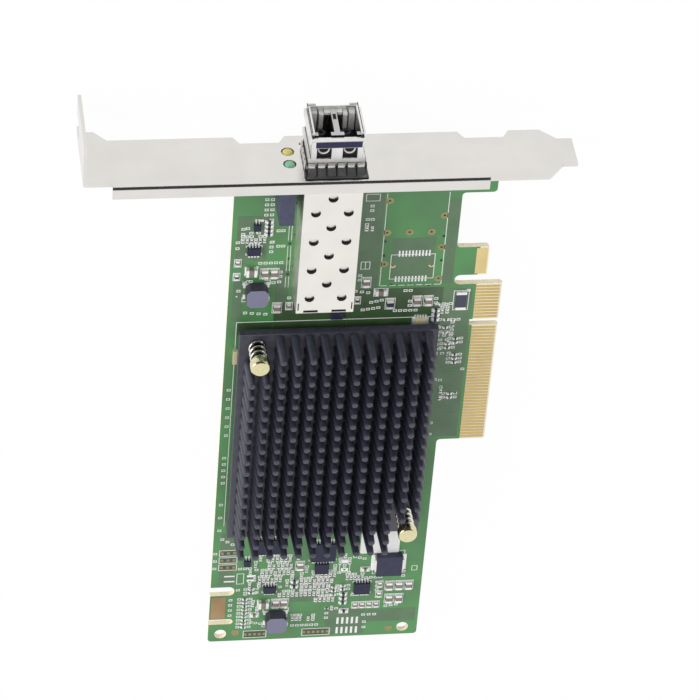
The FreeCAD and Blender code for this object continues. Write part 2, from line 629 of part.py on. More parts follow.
# Bracket
def make_bracket():
    right = size("bracket_past_tip")
    left = right - size("bracket_length")
    low = -size("bracket_under")
    high = low + size("bracket_width")
    end_low = -size("end_under")
    end_high = end_low + size("end_width")
    end_right = left + size("end_length")
    ear_low = BOARD_UNDER - size("bracket_sheet")
    relief = size("ear_relief")
    bend = size("bend_radius")
    flange_right = end_right + size("flange_length")
    taper = right - size("bracket_tongue")
    tip = right - size("tongue_tip_length")
    tip_low = low + size("tongue_tip_rise")
    tip_high = tip_low + size("tongue_tip_width")
    body = doc.addObject("PartDesign::Body", "BracketFace")
    sketch = sketch_on(body, "FaceOutline", "XZ_Plane", -FACE)
    draw_outline(sketch, [
        (left, end_low),
        (end_right - size("end_chamfer"), end_low),
        (end_right, low),
        (OUTER_EAR[0] - relief, low),
        (OUTER_EAR[0], ear_low),
        (OUTER_EAR[1], ear_low),
        (OUTER_EAR[1] + relief, low),
        (INNER_EAR[0] - relief, low),
        (INNER_EAR[0], ear_low),
        (INNER_EAR[1], ear_low),
        (INNER_EAR[1] + relief, low),
        (taper, low),
        (tip, tip_low),
        (right, tip_low),
        (right, tip_high),
        (tip, tip_high),
        (taper, high),
        (flange_right, high),
        (flange_right, high - bend),
        (end_right, high - bend),
        (end_right, end_high),
        (left, end_high),
    ])
    pad(body, "FacePad", sketch, size("bracket_sheet"))
    flange = box("Flange", (end_right, flange_right), (FACE - size("flange_depth"), FACE - bend),
                 (high - size("bracket_sheet"), high))
    flange_bend = rod("FlangeBend", (end_right, FACE - bend, high - bend), "x", bend * 2,
                      size("flange_length"))
    ears = [box(f"MountingEar{step}", ear, (FACE - size("ear_tab_depth"), FACE), (ear_low, BOARD_UNDER))
            for step, ear in enumerate((OUTER_EAR, INNER_EAR))]
    tab_end = FACE + size("screw_tab")
    screw_tab = box("ScrewTab", (left, left + size("bracket_sheet")), (FACE_INSIDE, tab_end),
                    (end_low, end_high))
    blank = fuse("BracketBlank", [body, flange, flange_bend, *ears, screw_tab])

    notch_y = FACE + size("screw_notch_reach")
    notch_half = size("screw_notch_width") / 2
    notch_top = end_low + size("screw_notch_depth") - notch_half
    through_tab = (left - 1, left + size("bracket_sheet") + 1)
    half_opening = size("opening_width") / 2
    through_face = (FACE_INSIDE - 1, FACE + 1)
    tools = [
        box("NotchRun", through_tab, (notch_y - notch_half, notch_y + notch_half), (end_low - 1, notch_top)),
        rod("NotchEnd", (through_tab[0], notch_y, notch_top), "x", size("screw_notch_width"),
            through_tab[1] - through_tab[0]),
        box("PortOpening", (PORT_X - half_opening, PORT_X + half_opening), through_face,
            (-size("opening_low"), size("opening_high"))),
        box("InsideOfBend", (end_right, flange_right), (FACE - bend * 3, FACE_INSIDE),
            (high - bend * 3, high - size("bracket_sheet"))),
    ]
    for step, (x, z) in enumerate(LED_PLACES):
        tools.append(prism(f"LedHole{step}", (x, through_face[0], z), "y", size("led_hole"),
                           through_face[1] - through_face[0], SMALL_SIDES))
    for step, x in enumerate(SCREW_XS):
        tools.append(prism(f"TappedHole{step}", (x, SCREW_Y, ear_low - 1), "z", size("screw_tapping"),
                           size("bracket_sheet") + 2, SMALL_SIDES))
    plain = cut("BracketCut", blank, tools)
    doc.recompute()

    # The folds of the ears and of the screw tab are rounded outside, like the flange's
    bends = doc.addObject("Part::Fillet", "Bracket")
    bends.Base = plain
    folds = edges_where(plain.Shape, lambda point: near(point.y, FACE) and near(point.z, ear_low))
    folds += edges_where(plain.Shape, lambda point: near(point.y, FACE_INSIDE) and near(point.x, left))
    bends.Edges = [(int(name[4:]), bend.value, bend.value) for name in folds]
    subpart(bends, "bracket")


def make_bracket_screws():
    screws = []
    for step, x in enumerate(SCREW_XS):
        head = prism(f"ScrewHead{step}", (x, SCREW_Y, BOARD_TOP), "z", size("screw_head"),
                     size("screw_head_height"), SMALL_SIDES)
        shank_low = BOARD_UNDER - size("bracket_sheet")
        shank = prism(f"ScrewShank{step}", (x, SCREW_Y, shank_low), "z", size("screw_shank"),
                      BOARD_TOP - shank_low + size("screw_head_height") / 2, SMALL_SIDES)
        screws.append(fuse(f"Screw{step}", [head, shank]))
    subpart(group("BracketScrews", screws), "bracket_screws")


# Port cage
def across_port(half_width):
    """Limits of something centred on the fitted port."""
    return PORT_X - half_width, PORT_X + half_width


def make_cage():
    wall = size("cage_sheet")
    outside = box("CageOutside", across_port(CAGE_HALF), (CAGE_BACK, CAGE_FRONT), (BOARD_TOP, CAGE_TOP))
    inside = box("CageInside", across_port(CAGE_HALF - wall), (CAGE_BACK + wall, CAGE_FRONT + 1),
                 (BOARD_TOP - 1, CAGE_TOP - wall))
    through_top = (CAGE_TOP - wall - 1, wall + 2)
    tools = [inside]
    first = FACE - size("vent_first")
    for step in range(4):
        y = first - size("vent_pitch") * step
        for column, back in ((0, 0), (-1, 0.5), (1, 0.5)):
            x = PORT_X + size("vent_column") * column
            start = (x, y - size("vent_pitch") * back, through_top[0])
            tools.append(prism(f"Vent{step}_{column + 1}", start, "z", size("vent_diameter"), through_top[1],
                               SMALL_SIDES))
    half = size("rear_slot_width") / 2
    for side in (-1, 1):
        x = PORT_X + size("rear_slot_spread") * side
        tools.append(box(f"RearSlot{side + 1}", (x - half, x + half),
                         (CAGE_BACK - 1, CAGE_BACK + size("rear_slot_depth")),
                         (CAGE_TOP - size("rear_slot_drop"), CAGE_TOP + 1)))
    shell = cut("CageShell", outside, tools)
    pin_half = size("cage_pin_width") / 2
    pins = []
    for step, (x, y) in enumerate(cage_pins(PORT_X)):
        pins.append(box(f"CagePin{step}", (x - wall / 2, x + wall / 2), (y - pin_half, y + pin_half),
                        (BOARD_UNDER - size("cage_pin_reach"), BOARD_TOP + 1)))
    subpart(fuse("Cage", [shell, *pins]), "port_cage")

    gap = size("floor_gap")
    floor = box("CageFloor", across_port(CAGE_HALF - wall - gap), (CAGE_BACK + wall + gap, CAGE_FRONT),
                (BOARD_TOP, BOARD_TOP + wall))
    socket_clear = box("FloorRelief", across_port(size("socket_width") / 2 + gap),
                       (CAGE_BACK, SOCKET_FRONT + size("socket_pitch") + gap), (BOARD_TOP - 1, BOARD_TOP + 1))
    subpart(cut("CageFloorCut", floor, [socket_clear]), "cage_floor")


SOCKET_BACK = CAGE_BACK + size("socket_clear")
SOCKET_FRONT = SOCKET_BACK + size("socket_depth")


def spring_finger(label, role, offset, width, level, free_level, pitch, amount, along):
    """A row of bent fingers: one drawn in section, then repeated along the edge of the cage."""
    heading = 1 if free_level.value > level.value else -1
    sheet = size("spring_sheet")
    lift = sheet * heading
    crest = FACE + size("finger_crest")
    back = FACE - size("finger_back")
    root = CAGE_FRONT - size("collar_length") / 2
    points = [(root, level), (crest, level), (crest + sheet, level + lift * 2), (back, free_level),
              (back, free_level - lift * 1.4), (crest - sheet, level + lift), (root, level + lift)]
    body = doc.addObject("PartDesign::Body", label)
    sketch = sketch_on(body, f"{label}Section", role, offset)
    if role == "XY_Plane":
        points = [(x, y) for y, x in points]
    draw_outline(sketch, points)
    first = pad(body, f"{label}Pad", sketch, width)
    row = body.newObject("PartDesign::LinearPattern", f"{label}Row")
    row.Originals = [first]
    row.Direction = (body_plane(body, along), [""])
    row.Mode = "Spacing"
    bind(row, "Offset", pitch)
    row.Occurrences = amount
    body.Tip = row
    return body


def make_spring_fingers():
    sheet = size("spring_sheet")
    outer = CAGE_HALF + sheet
    band_low = BOARD_TOP - sheet
    band_high = CAGE_TOP + sheet
    band_y = (CAGE_FRONT - size("collar_length"), CAGE_FRONT)
    band = box("CollarOutside", across_port(outer), band_y, (band_low, band_high))
    hollow = box("CollarInside", across_port(CAGE_HALF), (band_y[0] - 1, band_y[1] + 1),
                 (BOARD_TOP, CAGE_TOP))
    pieces = [cut("CollarBand", band, [hollow])]
    clear = size("finger_clear")
    gap = size("finger_gap")
    wide = CAGE_HALF * 2 / size("wide_fingers")
    start = PORT_X - CAGE_HALF + gap / 2
    for label, level, free in (("TopFingers", band_high - sheet, size("opening_high") - clear),
                               ("LowFingers", band_low + sheet, clear - size("opening_low"))):
        pieces.append(spring_finger(label, "YZ_Plane", start, wide - gap, level, free, wide,
                                    count("wide_fingers"), "X_Axis"))
    side_low = BOARD_TOP + gap / 2
    tall = (CAGE_TOP - BOARD_TOP) / size("tall_fingers")
    half_opening = size("opening_width") / 2
    for label, heading in (("LeftFingers", -1), ("RightFingers", 1)):
        level = PORT_X + (outer - sheet) * heading
        free = PORT_X + (half_opening - clear) * heading
        pieces.append(spring_finger(label, "XY_Plane", side_low, tall - gap, level, free, tall,
                                    count("tall_fingers"), "Z_Axis"))
    subpart(fuse("SpringCollar", pieces), "cage_spring_fingers")


def make_host_connector():
    plug_low = BOARD_TOP + size("plug_height")
    clear = size("plug_clear")
    block = box("SocketBlock", across_port(size("socket_width") / 2), (SOCKET_BACK, SOCKET_FRONT),
                (BOARD_TOP, BOARD_TOP + size("socket_height")))
    entry = SOCKET_FRONT - size("plug_entry") - clear
    slot = box("SocketSlot", across_port(size("plug_width") / 2 + clear), (entry, SOCKET_FRONT + 1),
               (plug_low - clear, plug_low + size("plug_thickness") + clear))
    subpart(cut("Socket", block, [slot]), "host_connector")
    contacts = []
    half = size("socket_pitch") / 4
    foot = BOARD_TOP + size("cage_sheet")
    for row, (near_edge, reach) in enumerate(((SOCKET_BACK, -1), (SOCKET_FRONT, 1))):
        for step in range(count("socket_contacts")):
            x = PORT_X + size("socket_pitch") * (step - (count("socket_contacts") - 1) / 2)
            y = (near_edge, near_edge + size("socket_pitch")) if reach > 0 else (
                near_edge - size("socket_pitch"), near_edge)
            contacts.append(box(f"SocketContact{row}_{step}", (x - half, x + half), y, (BOARD_TOP, foot)))
    subpart(group("SocketContacts", contacts), "host_contacts")


# Transceiver
MODULE_LOW = BOARD_TOP + size("cage_sheet") + size("module_gap")
MODULE_HIGH = CAGE_TOP - size("cage_sheet") - size("module_gap")
MODULE_HALF = CAGE_HALF - size("cage_sheet") - size("module_gap")
MODULE_BACK = SOCKET_FRONT + size("socket_pitch") + size("module_gap")
NOSE_FRONT = FACE + size("nose_reach")
NOSE_BACK = NOSE_FRONT - size("nose_length")
NOSE_HALF = size("nose_width") / 2
NOSE_SIDE = NOSE_HALF - size("bail_sheet") - size("bail_gap")
NOSE_LOW = -size("nose_under")
NOSE_HIGH = size("nose_top")
CAVITY_LOW = NOSE_LOW + size("nose_floor")
CAVITY_HIGH = NOSE_HIGH - size("nose_roof")
CAVITY_HALF = NOSE_SIDE - size("nose_wall")
CAVITY_BACK = NOSE_BACK + size("nose_wall")
BAR_LOW = NOSE_HIGH - size("bail_bar_height")
BAR_FRONT = NOSE_FRONT - size("bail_setback")
BAR_BACK = BAR_FRONT - size("bail_bar")
PIVOT_Y = NOSE_FRONT - size("bail_pivot_back")
PIVOT_Z = NOSE_LOW + size("bail_pivot_rise")
PLUG_LOW = BOARD_TOP + size("plug_height")


def make_transceiver_housing():
    wall = size("module_wall")
    lid_low = MODULE_HIGH - size("lid_sheet")
    shoulder_end = NOSE_BACK + size("nose_shoulder")
    tray = box("Tray", across_port(MODULE_HALF), (MODULE_BACK, NOSE_BACK), (MODULE_LOW, lid_low))
    shoulder = box("Shoulder", across_port(NOSE_HALF), (NOSE_BACK, shoulder_end), (NOSE_LOW, NOSE_HIGH))
    nose = box("Nose", across_port(NOSE_SIDE), (NOSE_BACK, NOSE_FRONT), (NOSE_LOW, NOSE_HIGH))
    stubs = [prism(f"PivotStub{side}", (PORT_X + start, PIVOT_Y, PIVOT_Z), "x", size("bail_pin"),
                   NOSE_HALF - CAVITY_HALF, SMALL_SIDES)
             for side, start in enumerate((-NOSE_HALF, CAVITY_HALF))]
    solid = fuse("HousingSolid", [tray, shoulder, nose, *stubs])
    board_clear = size("module_gap") / 2
    tools = [
        box("TrayHollow", across_port(MODULE_HALF - wall), (MODULE_BACK + wall, NOSE_BACK - wall),
            (MODULE_LOW + wall, lid_low + 1)),
        box("PlugGap", across_port(size("plug_width") / 2 + board_clear),
            (MODULE_BACK - 1, MODULE_BACK + wall + 1),
            (PLUG_LOW - board_clear, PLUG_LOW + size("plug_thickness") + board_clear)),
        box("NoseCavity", across_port(CAVITY_HALF), (CAVITY_BACK, NOSE_FRONT + 1), (CAVITY_LOW, CAVITY_HIGH)),
        box("BarLedge", across_port(NOSE_HALF + 1),
            (BAR_BACK - size("bail_gap"), NOSE_FRONT + 1),
            (BAR_LOW - size("bail_ledge"), NOSE_HIGH + 1)),
        box("HeelStep", across_port(NOSE_SIDE - size("heel_width")),
            (NOSE_FRONT - size("heel_length"), NOSE_FRONT + 1), (NOSE_LOW - 1, NOSE_LOW + size("heel_rise"))),
    ]
    window_front = NOSE_FRONT - size("window_back")
    half_window = size("window_width") / 2
    for side in (-1, 1):
        x = PORT_X + size("fibre_pitch") / 2 * side
        tools.append(box(f"LatchWindow{side + 1}", (x - half_window, x + half_window),
                         (window_front - size("window_length"), window_front),
                         (CAVITY_HIGH - 1, NOSE_HIGH + 1)))
    subpart(cut("Housing", solid, tools), "transceiver_housing")
    lid = box("Lid", across_port(MODULE_HALF), (MODULE_BACK, NOSE_BACK), (lid_low, MODULE_HIGH))
    subpart(lid, "transceiver_lid")

    plug_half = size("plug_width") / 2
    rest = MODULE_LOW + wall
    inner = box("InnerBoard", across_port(plug_half),
                (SOCKET_FRONT - size("plug_entry"), NOSE_BACK - wall - board_clear),
                (PLUG_LOW, PLUG_LOW + size("plug_thickness")))
    post_top = PLUG_LOW + size("plug_thickness") / 2
    posts = [box(f"BoardPost{step}", across_port(plug_half / 2), (y, y + wall), (rest, post_top))
             for step, y in enumerate((MODULE_BACK + wall * 3, NOSE_BACK - wall * 6))]
    subpart(fuse("TransceiverBoard", [inner, *posts]), "transceiver_board")


def make_fibre_receptacle():
    gap = size("fit_gap")
    back_y = (CAVITY_BACK, CAVITY_BACK + size("receptacle_back"))
    plate = box("ReceptaclePlate", across_port(CAVITY_HALF - gap), back_y, (CAVITY_LOW, CAVITY_HIGH - gap))
    front = BAR_FRONT + size("bail_bar") / 2
    wall = box("DividerWall", across_port(size("divider_wall") / 2), (back_y[0], front),
               (CAVITY_LOW, CAVITY_HIGH - gap))
    slot_z = (CAVITY_HIGH - gap - size("latch_slot_depth"), CAVITY_HIGH - gap)
    slot_inner = (size("fibre_pitch") - size("latch_slot_width")) / 2
    slot_outer = slot_inner + size("latch_slot_width")
    ledge = CAVITY_HALF - gap
    rails = [box("DividerHead", across_port(slot_inner), (back_y[0], front), slot_z),
             box("LeftRail", (PORT_X - ledge, PORT_X - slot_outer), (back_y[0], front), slot_z),
             box("RightRail", (PORT_X + slot_outer, PORT_X + ledge), (back_y[0], front), slot_z)]
    solid = fuse("ReceptacleSolid", [plate, wall, *rails])
    sleeve_z = CAVITY_LOW + size("sleeve_height")
    seats = []
    sleeves = []
    for side in (-1, 1):
        x = PORT_X + size("fibre_pitch") / 2 * side
        start = (x, back_y[0], sleeve_z)
        length = size("receptacle_back") + size("sleeve_length")
        seats.append(prism(f"SleeveSeat{side + 1}", (x, back_y[0] - 1, sleeve_z), "y", size("sleeve_outside"),
                           size("receptacle_back") + 2, SMALL_SIDES))
        tube = prism(f"SleeveTube{side + 1}", start, "y", size("sleeve_outside"), length, SMALL_SIDES)
        bore = prism(f"SleeveBore{side + 1}", (x, back_y[0] + size("receptacle_back") / 2, sleeve_z), "y",
                     size("sleeve_bore"), length, SMALL_SIDES)
        sleeves.append(cut(f"Sleeve{side + 1}", tube, [bore]))
    subpart(cut("Receptacle", solid, seats), "fibre_receptacle")
    subpart(group("Sleeves", sleeves), "ferrule_sleeves")


def make_bail():
    half = size("bail_arm_width") / 2
    pieces = [box("BailBar", across_port(NOSE_HALF), (BAR_BACK, BAR_FRONT), (BAR_LOW, NOSE_HIGH))]
    holes = []
    for side, (inside, outside) in enumerate(((-NOSE_HALF, -NOSE_HALF + size("bail_sheet")),
                                              (NOSE_HALF - size("bail_sheet"), NOSE_HALF))):
        limits = (PORT_X + inside, PORT_X + outside)
        pieces.append(box(f"BailArm{side}", limits, (PIVOT_Y - half, PIVOT_Y + half), (PIVOT_Z, NOSE_HIGH)))
        pieces.append(prism(f"BailEye{side}", (limits[0], PIVOT_Y, PIVOT_Z), "x", half * 2,
                            size("bail_sheet"), SMALL_SIDES))
        holes.append(rod(f"BailHole{side}", (limits[0] - 1, PIVOT_Y, PIVOT_Z), "x",
                         size("bail_pin") + size("bail_pin_gap") * 2, size("bail_sheet") + 2))
    subpart(cut("Bail", fuse("BailSolid", pieces), holes), "bail_latch")


# Indicators
LED_X = PORT_X - CAGE_HALF - size("led_from_cage")
LED_LOW = BOARD_TOP + size("led_height")
LED_PLACES = [(LED_X, LED_LOW), (LED_X, LED_LOW + size("led_pitch"))]


def make_indicators():
    half = size("holder_width") / 2
    top = LED_PLACES[1][1] + size("holder_top")
    block = box("HolderBlock", (LED_X - half, LED_X + half),
                (FACE - size("holder_back"), FACE - size("holder_front")), (BOARD_TOP, top))
    bore = size("led_lens") + size("lens_gap") * 2
    lens_back = FACE - size("led_lens_length")
    seats = []
    for step, ((x, z), label) in enumerate(zip(LED_PLACES, ("yellow_led", "green_led"))):
        seats.append(prism(f"LensSeat{step}", (x, lens_back, z), "y", bore, size("led_lens_length"),
                           SMALL_SIDES))
        lens = prism(f"Lens{step}", (x, lens_back, z), "y", size("led_lens"),
                     size("led_lens_length") + size("led_dome"), SMALL_SIDES)
        subpart(lens, label)
    subpart(cut("Holder", block, seats), "led_holder")


# Cooling
def ring(centre_x, centre_y, level, across, sides):
    """Corners of a regular section, given across its corners, with a flat side towards +X."""
    turns = [math.pi * (2 * step + 1) / sides for step in range(sides)]
    return [Vector(centre_x + across / 2 * math.cos(turn), centre_y + across / 2 * math.sin(turn), level)
            for turn in turns]


def closed(corners):
    """A closed wire through a list of corners."""
    return Part.makePolygon(corners + corners[:1])


def kept_pins():
    """Centres of the cooling pins, without those that make room for the push pins."""
    columns = count("pin_columns")
    rows = count("pin_rows")
    clear = count("clear_columns")
    for row in range(rows):
        for column in range(columns):
            by_first = column < clear and row < count("clear_rows")
            by_second = column >= columns - clear and row >= rows - count("clear_rows_far")
            if not by_first and not by_second:
                yield pin_place(column, row)


def make_heat_sink():
    """Base and drafted pins as one sewn shell, with the holes for the push pins."""
    low, top, tip = SINK_UNDER.value, SINK_TOP.value, PIN_TIP.value
    slope = math.tan(math.radians(size("pin_taper").value))
    foot_across = size("pin_foot").value * math.sqrt(2)
    tip_across = (size("pin_foot").value - 2 * size("pin_height").value * slope) * math.sqrt(2)
    plan = [(SINK_LEFT.value, SINK_FAR.value), (SINK_RIGHT.value, SINK_FAR.value),
            (SINK_RIGHT.value, SINK_FRONT.value), (SINK_LEFT.value, SINK_FRONT.value)]
    under = [Vector(x, y, low) for x, y in plan]
    upper = [Vector(x, y, top) for x, y in plan]
    drills = [[ring(x.value, y.value, level, size("push_hole").value, SMALL_SIDES) for level in (low, top)]
              for x, y in PUSH_PLACES]
    pins = [(ring(x.value, y.value, top, foot_across, 4), ring(x.value, y.value, tip, tip_across, 4))
            for x, y in kept_pins()]
    faces = [Part.Face(closed(crown)) for foot, crown in pins]
    for outline, inner in ((under, [drill[0] for drill in drills]),
                           (upper, [drill[1] for drill in drills] + [foot for foot, crown in pins])):
        wires = [closed(corners) for corners in [outline] + inner]
        faces.append(Part.makeFace(wires, "Part::FaceMakerBullseye"))
    for lower_ring, upper_ring in [(under, upper)] + drills + pins:
        for step in range(len(lower_ring)):
            corners = [lower_ring[step - 1], lower_ring[step], upper_ring[step], upper_ring[step - 1]]
            faces.append(Part.Face(closed(corners)))
    shell = Part.makeShell(faces)
    shell.sewShape()
    solid = Part.makeSolid(shell)
    if solid.Volume < 0:
        solid.reverse()
    heat_sink = doc.addObject("Part::Feature", "HeatSink")
    heat_sink.Shape = solid
    subpart(heat_sink, "heat_sink")


def make_cooling_stack():
    middle_x = (SINK_LEFT + SINK_RIGHT) / 2
    middle_y = (SINK_FRONT + SINK_FAR) / 2
    for label, side, low, high in (("controller_chip", "chip_side", BOARD_TOP, CHIP_TOP),
                                   ("thermal_pad", "pad_side", CHIP_TOP, SINK_UNDER)):
        half = size(side) / 2
        block = box(f"{label}_block", (middle_x - half, middle_x + half), (middle_y - half, middle_y + half),
                    (low, high))
        subpart(block, label)


CAP_TOP = PIN_TIP - size("push_top")
CAP_LOW = CAP_TOP - size("push_cap_height")


def make_push_pins():
    pins = []
    barb_low = BOARD_UNDER - size("barb_length")
    for step, (x, y) in enumerate(PUSH_PLACES):
        stem = prism(f"PushStem{step}", (x, y, barb_low), "z", size("push_stem"), CAP_TOP - barb_low,
                     SMALL_SIDES)
        cap = prism(f"PushCap{step}", (x, y, CAP_LOW), "z", size("push_cap"), size("push_cap_height"),
                    FINE_SIDES)
        half = size("barb_width") / 2
        tip = size("push_stem") / 4
        barb = doc.addObject("Part::Wedge", f"PushBarb{step}")
        for prop, length in (("Xmin", -half), ("Xmax", half), ("Zmin", -tip), ("Zmax", tip),
                             ("X2min", -tip), ("X2max", tip), ("Z2min", -tip), ("Z2max", tip),
                             ("Ymin", 0), ("Ymax", size("barb_length"))):
            bind(barb, prop, length)
        barb.Placement.Rotation = Rotation(Vector(1, 0, 0), -90)
        place(barb, (x, y, BOARD_UNDER))
        pins.append(fuse(f"PushPin{step}", [stem, cap, barb]))
    subpart(group("PushPins", pins), "push_pins")


def make_springs():
    """Coil springs of square wire, lofted through sections set along a helix."""
    wire = size("coil_wire").value
    radius = (size("coil_outside").value - wire) / 2
    low = SINK_TOP.value + wire / 2
    rise = CAP_LOW.value - SINK_TOP.value - wire
    steps_each_turn = 6
    steps = int(round(size("coil_turns").value * steps_each_turn))
    springs = []
    for x, y in PUSH_PLACES:
        sections = []
        for step in range(steps + 1):
            angle = 2 * math.pi * step / steps_each_turn
            outward = Vector(math.cos(angle), math.sin(angle), 0)
            centre = Vector(x.value, y.value, low + rise * step / steps) + outward * radius
            corners = [centre + outward * (across * wire / 2) + Vector(0, 0, up * wire / 2)
                       for across, up in ((-1, -1), (1, -1), (1, 1), (-1, 1))]
            sections.append(Part.makePolygon(corners + corners[:1]))
        springs.append(Part.makeLoft(sections, True, True))
    item = doc.addObject("Part::Feature", "Springs")
    item.Shape = Part.makeCompound(springs)
    subpart(item, "push_pin_springs")


# Power parts and small parts, each placed in grid steps from one of three corners
BY_KEY = (BOARD_LEFT, as_length(0))
BY_TONGUE = (BODY_RIGHT, as_length(0))
BY_FAR_END = (BOARD_LEFT, BOARD_FAR)


def seated(label, corner, places, plan, height):
    """Blocks of one size that stand on the board, one at each place across and along from a corner."""
    grid = size("placement_grid")
    half_width = plan[0] / 2
    half_depth = plan[1] / 2
    items = []
    for step, (across, along) in enumerate(places):
        x = corner[0] + grid * across
        y = corner[1] + grid * along
        items.append(box(f"{label}{step}", (x - half_width, x + half_width), (y - half_depth, y + half_depth),
                         (BOARD_TOP, BOARD_TOP + height)))
    return items


def plan_of(name):
    """The width and depth of a kind of part."""
    return size(f"{name}_width"), size(f"{name}_depth")


def row_of(start, step, amount):
    """Places in a straight row."""
    return [(start[0] + step[0] * index, start[1] + step[1] * index) for index in range(amount)]


def make_power_parts():
    plan = (size("inductor_side"), size("inductor_side"))
    height = size("inductor_height")
    blocks = seated("Inductor", BY_KEY, [(69, 125)], plan, height)
    blocks += seated("FarInductor", BY_FAR_END, [(178, 82)], plan, height)
    doc.recompute()
    bevelled = []
    for block in blocks:
        item = doc.addObject("Part::Chamfer", f"{block.Name}Bevelled")
        item.Base = block
        bevel = size("inductor_corner").value
        upright = [name for name in edges_where(block.Shape, lambda point: True) if not is_level(block, name)]
        item.Edges = [(int(name[4:]), bevel, bevel) for name in upright]
        bevelled.append(item)
    subpart(group("Inductors", bevelled), "power_inductors")
    plan = (size("choke_side"), size("choke_side"))
    subpart(seated("Choke", BY_FAR_END, [(470, 271)], plan, size("choke_height"))[0], "filter_choke")


def make_small_parts():
    thick = size("chip_thickness")
    flat = size("resistor_height")
    memory = seated("Memory", BY_FAR_END, [(293, 320)], plan_of("memory"), thick)
    memory += seated("SmallMemory", BY_FAR_END, [(292, 261)], plan_of("small_memory"), thick)
    subpart(group("MemoryChips", memory), "memory_chips")
    regulators = seated("Regulator", BY_FAR_END, [(145, 348)], plan_of("regulator"), thick)
    regulators += seated("SmallRegulator", BY_FAR_END, [(404, 182)], plan_of("small_regulator"), thick)
    plan = plan_of("driver")
    regulators += seated("Driver", BY_KEY, [(57, 256)], plan, thick)
    regulators += seated("FarDriver", BY_FAR_END, [(157, 190)], plan, thick)
    subpart(group("RegulatorChips", regulators), "regulator_chips")
    plan = plan_of("transistor")
    transistors = seated("Transistor", BY_KEY, [(62, 332)], plan, thick)
    transistors += seated("FarTransistor", BY_FAR_END, [(93, 290)], plan, thick)
    subpart(group("Transistors", transistors), "transistors")
    subpart(seated("SenseResistor", BY_TONGUE, [(24, 74)], plan_of("sense"), flat)[0], "sense_resistor")
    subpart(seated("Oscillator", BY_TONGUE, [(-75, 10)], plan_of("oscillator"), flat)[0], "oscillator")
    plan = plan_of("capacitor")
    low = size("passive_height")
    far_places = row_of((478, 184), (26, 0), 3) + row_of((480, 136), (26, 0), 2)
    far_places += row_of((176, 134), (22, 0), 2) + [(234, 270)]
    capacitors = seated("FarCapacitor", BY_FAR_END, far_places, plan, low)
    front_places = row_of((88, 180), (23, 0), 2) + [(344, 142), (124, 68)]
    capacitors += seated("Capacitor", BY_KEY, front_places, plan, low)
    capacitors += seated("TongueCapacitor", BY_TONGUE, row_of((-87, 76), (28, 0), 2), plan, low)
    plan = plan_of("small_capacitor")
    far_places = row_of((390, 116), (19, 0), 4) + row_of((452, 190), (0, -37), 2)
    capacitors += seated("SmallCapacitor", BY_FAR_END, far_places, plan, flat)
    subpart(group("Capacitors", capacitors), "ceramic_capacitors")
    plan = plan_of("resistor")
    far_places = row_of((222, 213), (0, -18), 2) + row_of((356, 160), (0, -16), 3)
    resistors = seated("FarResistor", BY_FAR_END, far_places, plan, flat)
    resistors += seated("Resistor", BY_KEY, row_of((91, 346), (0, -13), 4), plan, flat)
    resistors += seated("TongueResistor", BY_TONGUE, row_of((-37, 44), (0, -15), 3), plan, flat)
    subpart(group("Resistors", resistors), "chip_resistors")


def check_and_export():
    """Refuse to write anything if a piece failed, then write one file for each sub-part."""
    doc.recompute()
    for item in doc.Objects:
        if "Invalid" in item.State or "Error" in item.State:
            raise RuntimeError(f"{item.Label} failed: {item.getStatusString()}")
    os.makedirs("parts", exist_ok=True)
    for item in SUBPARTS:
        shape = item.Shape
        if shape.isNull() or not shape.isValid() or not shape.Solids:
            raise RuntimeError(f"{item.Label} has no valid solid")
        print(f"{item.Label}: {len(shape.Solids)} solids, {shape.Volume:.2f} mm3")
        shape.exportStep(os.path.join("parts", f"{item.Label}.step"))


make_circuit_board()
make_contacts()
make_bracket()
make_bracket_screws()
make_cage()
make_spring_fingers()
make_host_connector()
make_transceiver_housing()
make_fibre_receptacle()
make_bail()
make_indicators()
make_heat_sink()
make_cooling_stack()
make_push_pins()
make_springs()
make_power_parts()
make_small_parts()
check_and_export()
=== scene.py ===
# %% [markdown]
# A fibre channel adapter card, dressed in Blender around its solid model.
# The solid model gives every place and size, so this lesson only adds finishes and the small forms
# that give the card its look: round cooling pins, coil springs, solder, printed lines and leads.

# %% Load the solid model and keep its box
import math

import bmesh
import bpy
from mathutils import Matrix
from mathutils import Vector


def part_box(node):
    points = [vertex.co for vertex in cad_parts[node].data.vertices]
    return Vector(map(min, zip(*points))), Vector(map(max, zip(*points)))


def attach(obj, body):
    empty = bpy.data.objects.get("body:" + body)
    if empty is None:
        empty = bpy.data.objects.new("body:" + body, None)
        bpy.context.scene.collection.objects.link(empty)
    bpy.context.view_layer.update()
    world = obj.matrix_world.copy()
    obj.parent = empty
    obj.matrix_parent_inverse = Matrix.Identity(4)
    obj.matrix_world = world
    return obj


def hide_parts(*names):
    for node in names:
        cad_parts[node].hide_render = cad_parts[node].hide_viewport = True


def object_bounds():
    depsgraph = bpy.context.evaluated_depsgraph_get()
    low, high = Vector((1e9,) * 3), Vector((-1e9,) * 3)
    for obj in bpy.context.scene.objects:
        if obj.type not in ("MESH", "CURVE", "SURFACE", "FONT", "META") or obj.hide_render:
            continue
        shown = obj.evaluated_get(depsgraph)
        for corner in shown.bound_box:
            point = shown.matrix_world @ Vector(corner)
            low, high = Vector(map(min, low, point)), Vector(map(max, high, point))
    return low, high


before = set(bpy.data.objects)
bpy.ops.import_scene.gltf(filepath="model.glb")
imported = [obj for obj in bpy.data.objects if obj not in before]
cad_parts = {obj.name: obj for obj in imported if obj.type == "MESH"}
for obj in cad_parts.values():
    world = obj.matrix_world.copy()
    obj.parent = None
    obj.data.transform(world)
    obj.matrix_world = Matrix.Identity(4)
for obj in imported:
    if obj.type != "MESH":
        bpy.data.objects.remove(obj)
cad_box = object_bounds()
MM = 0.001

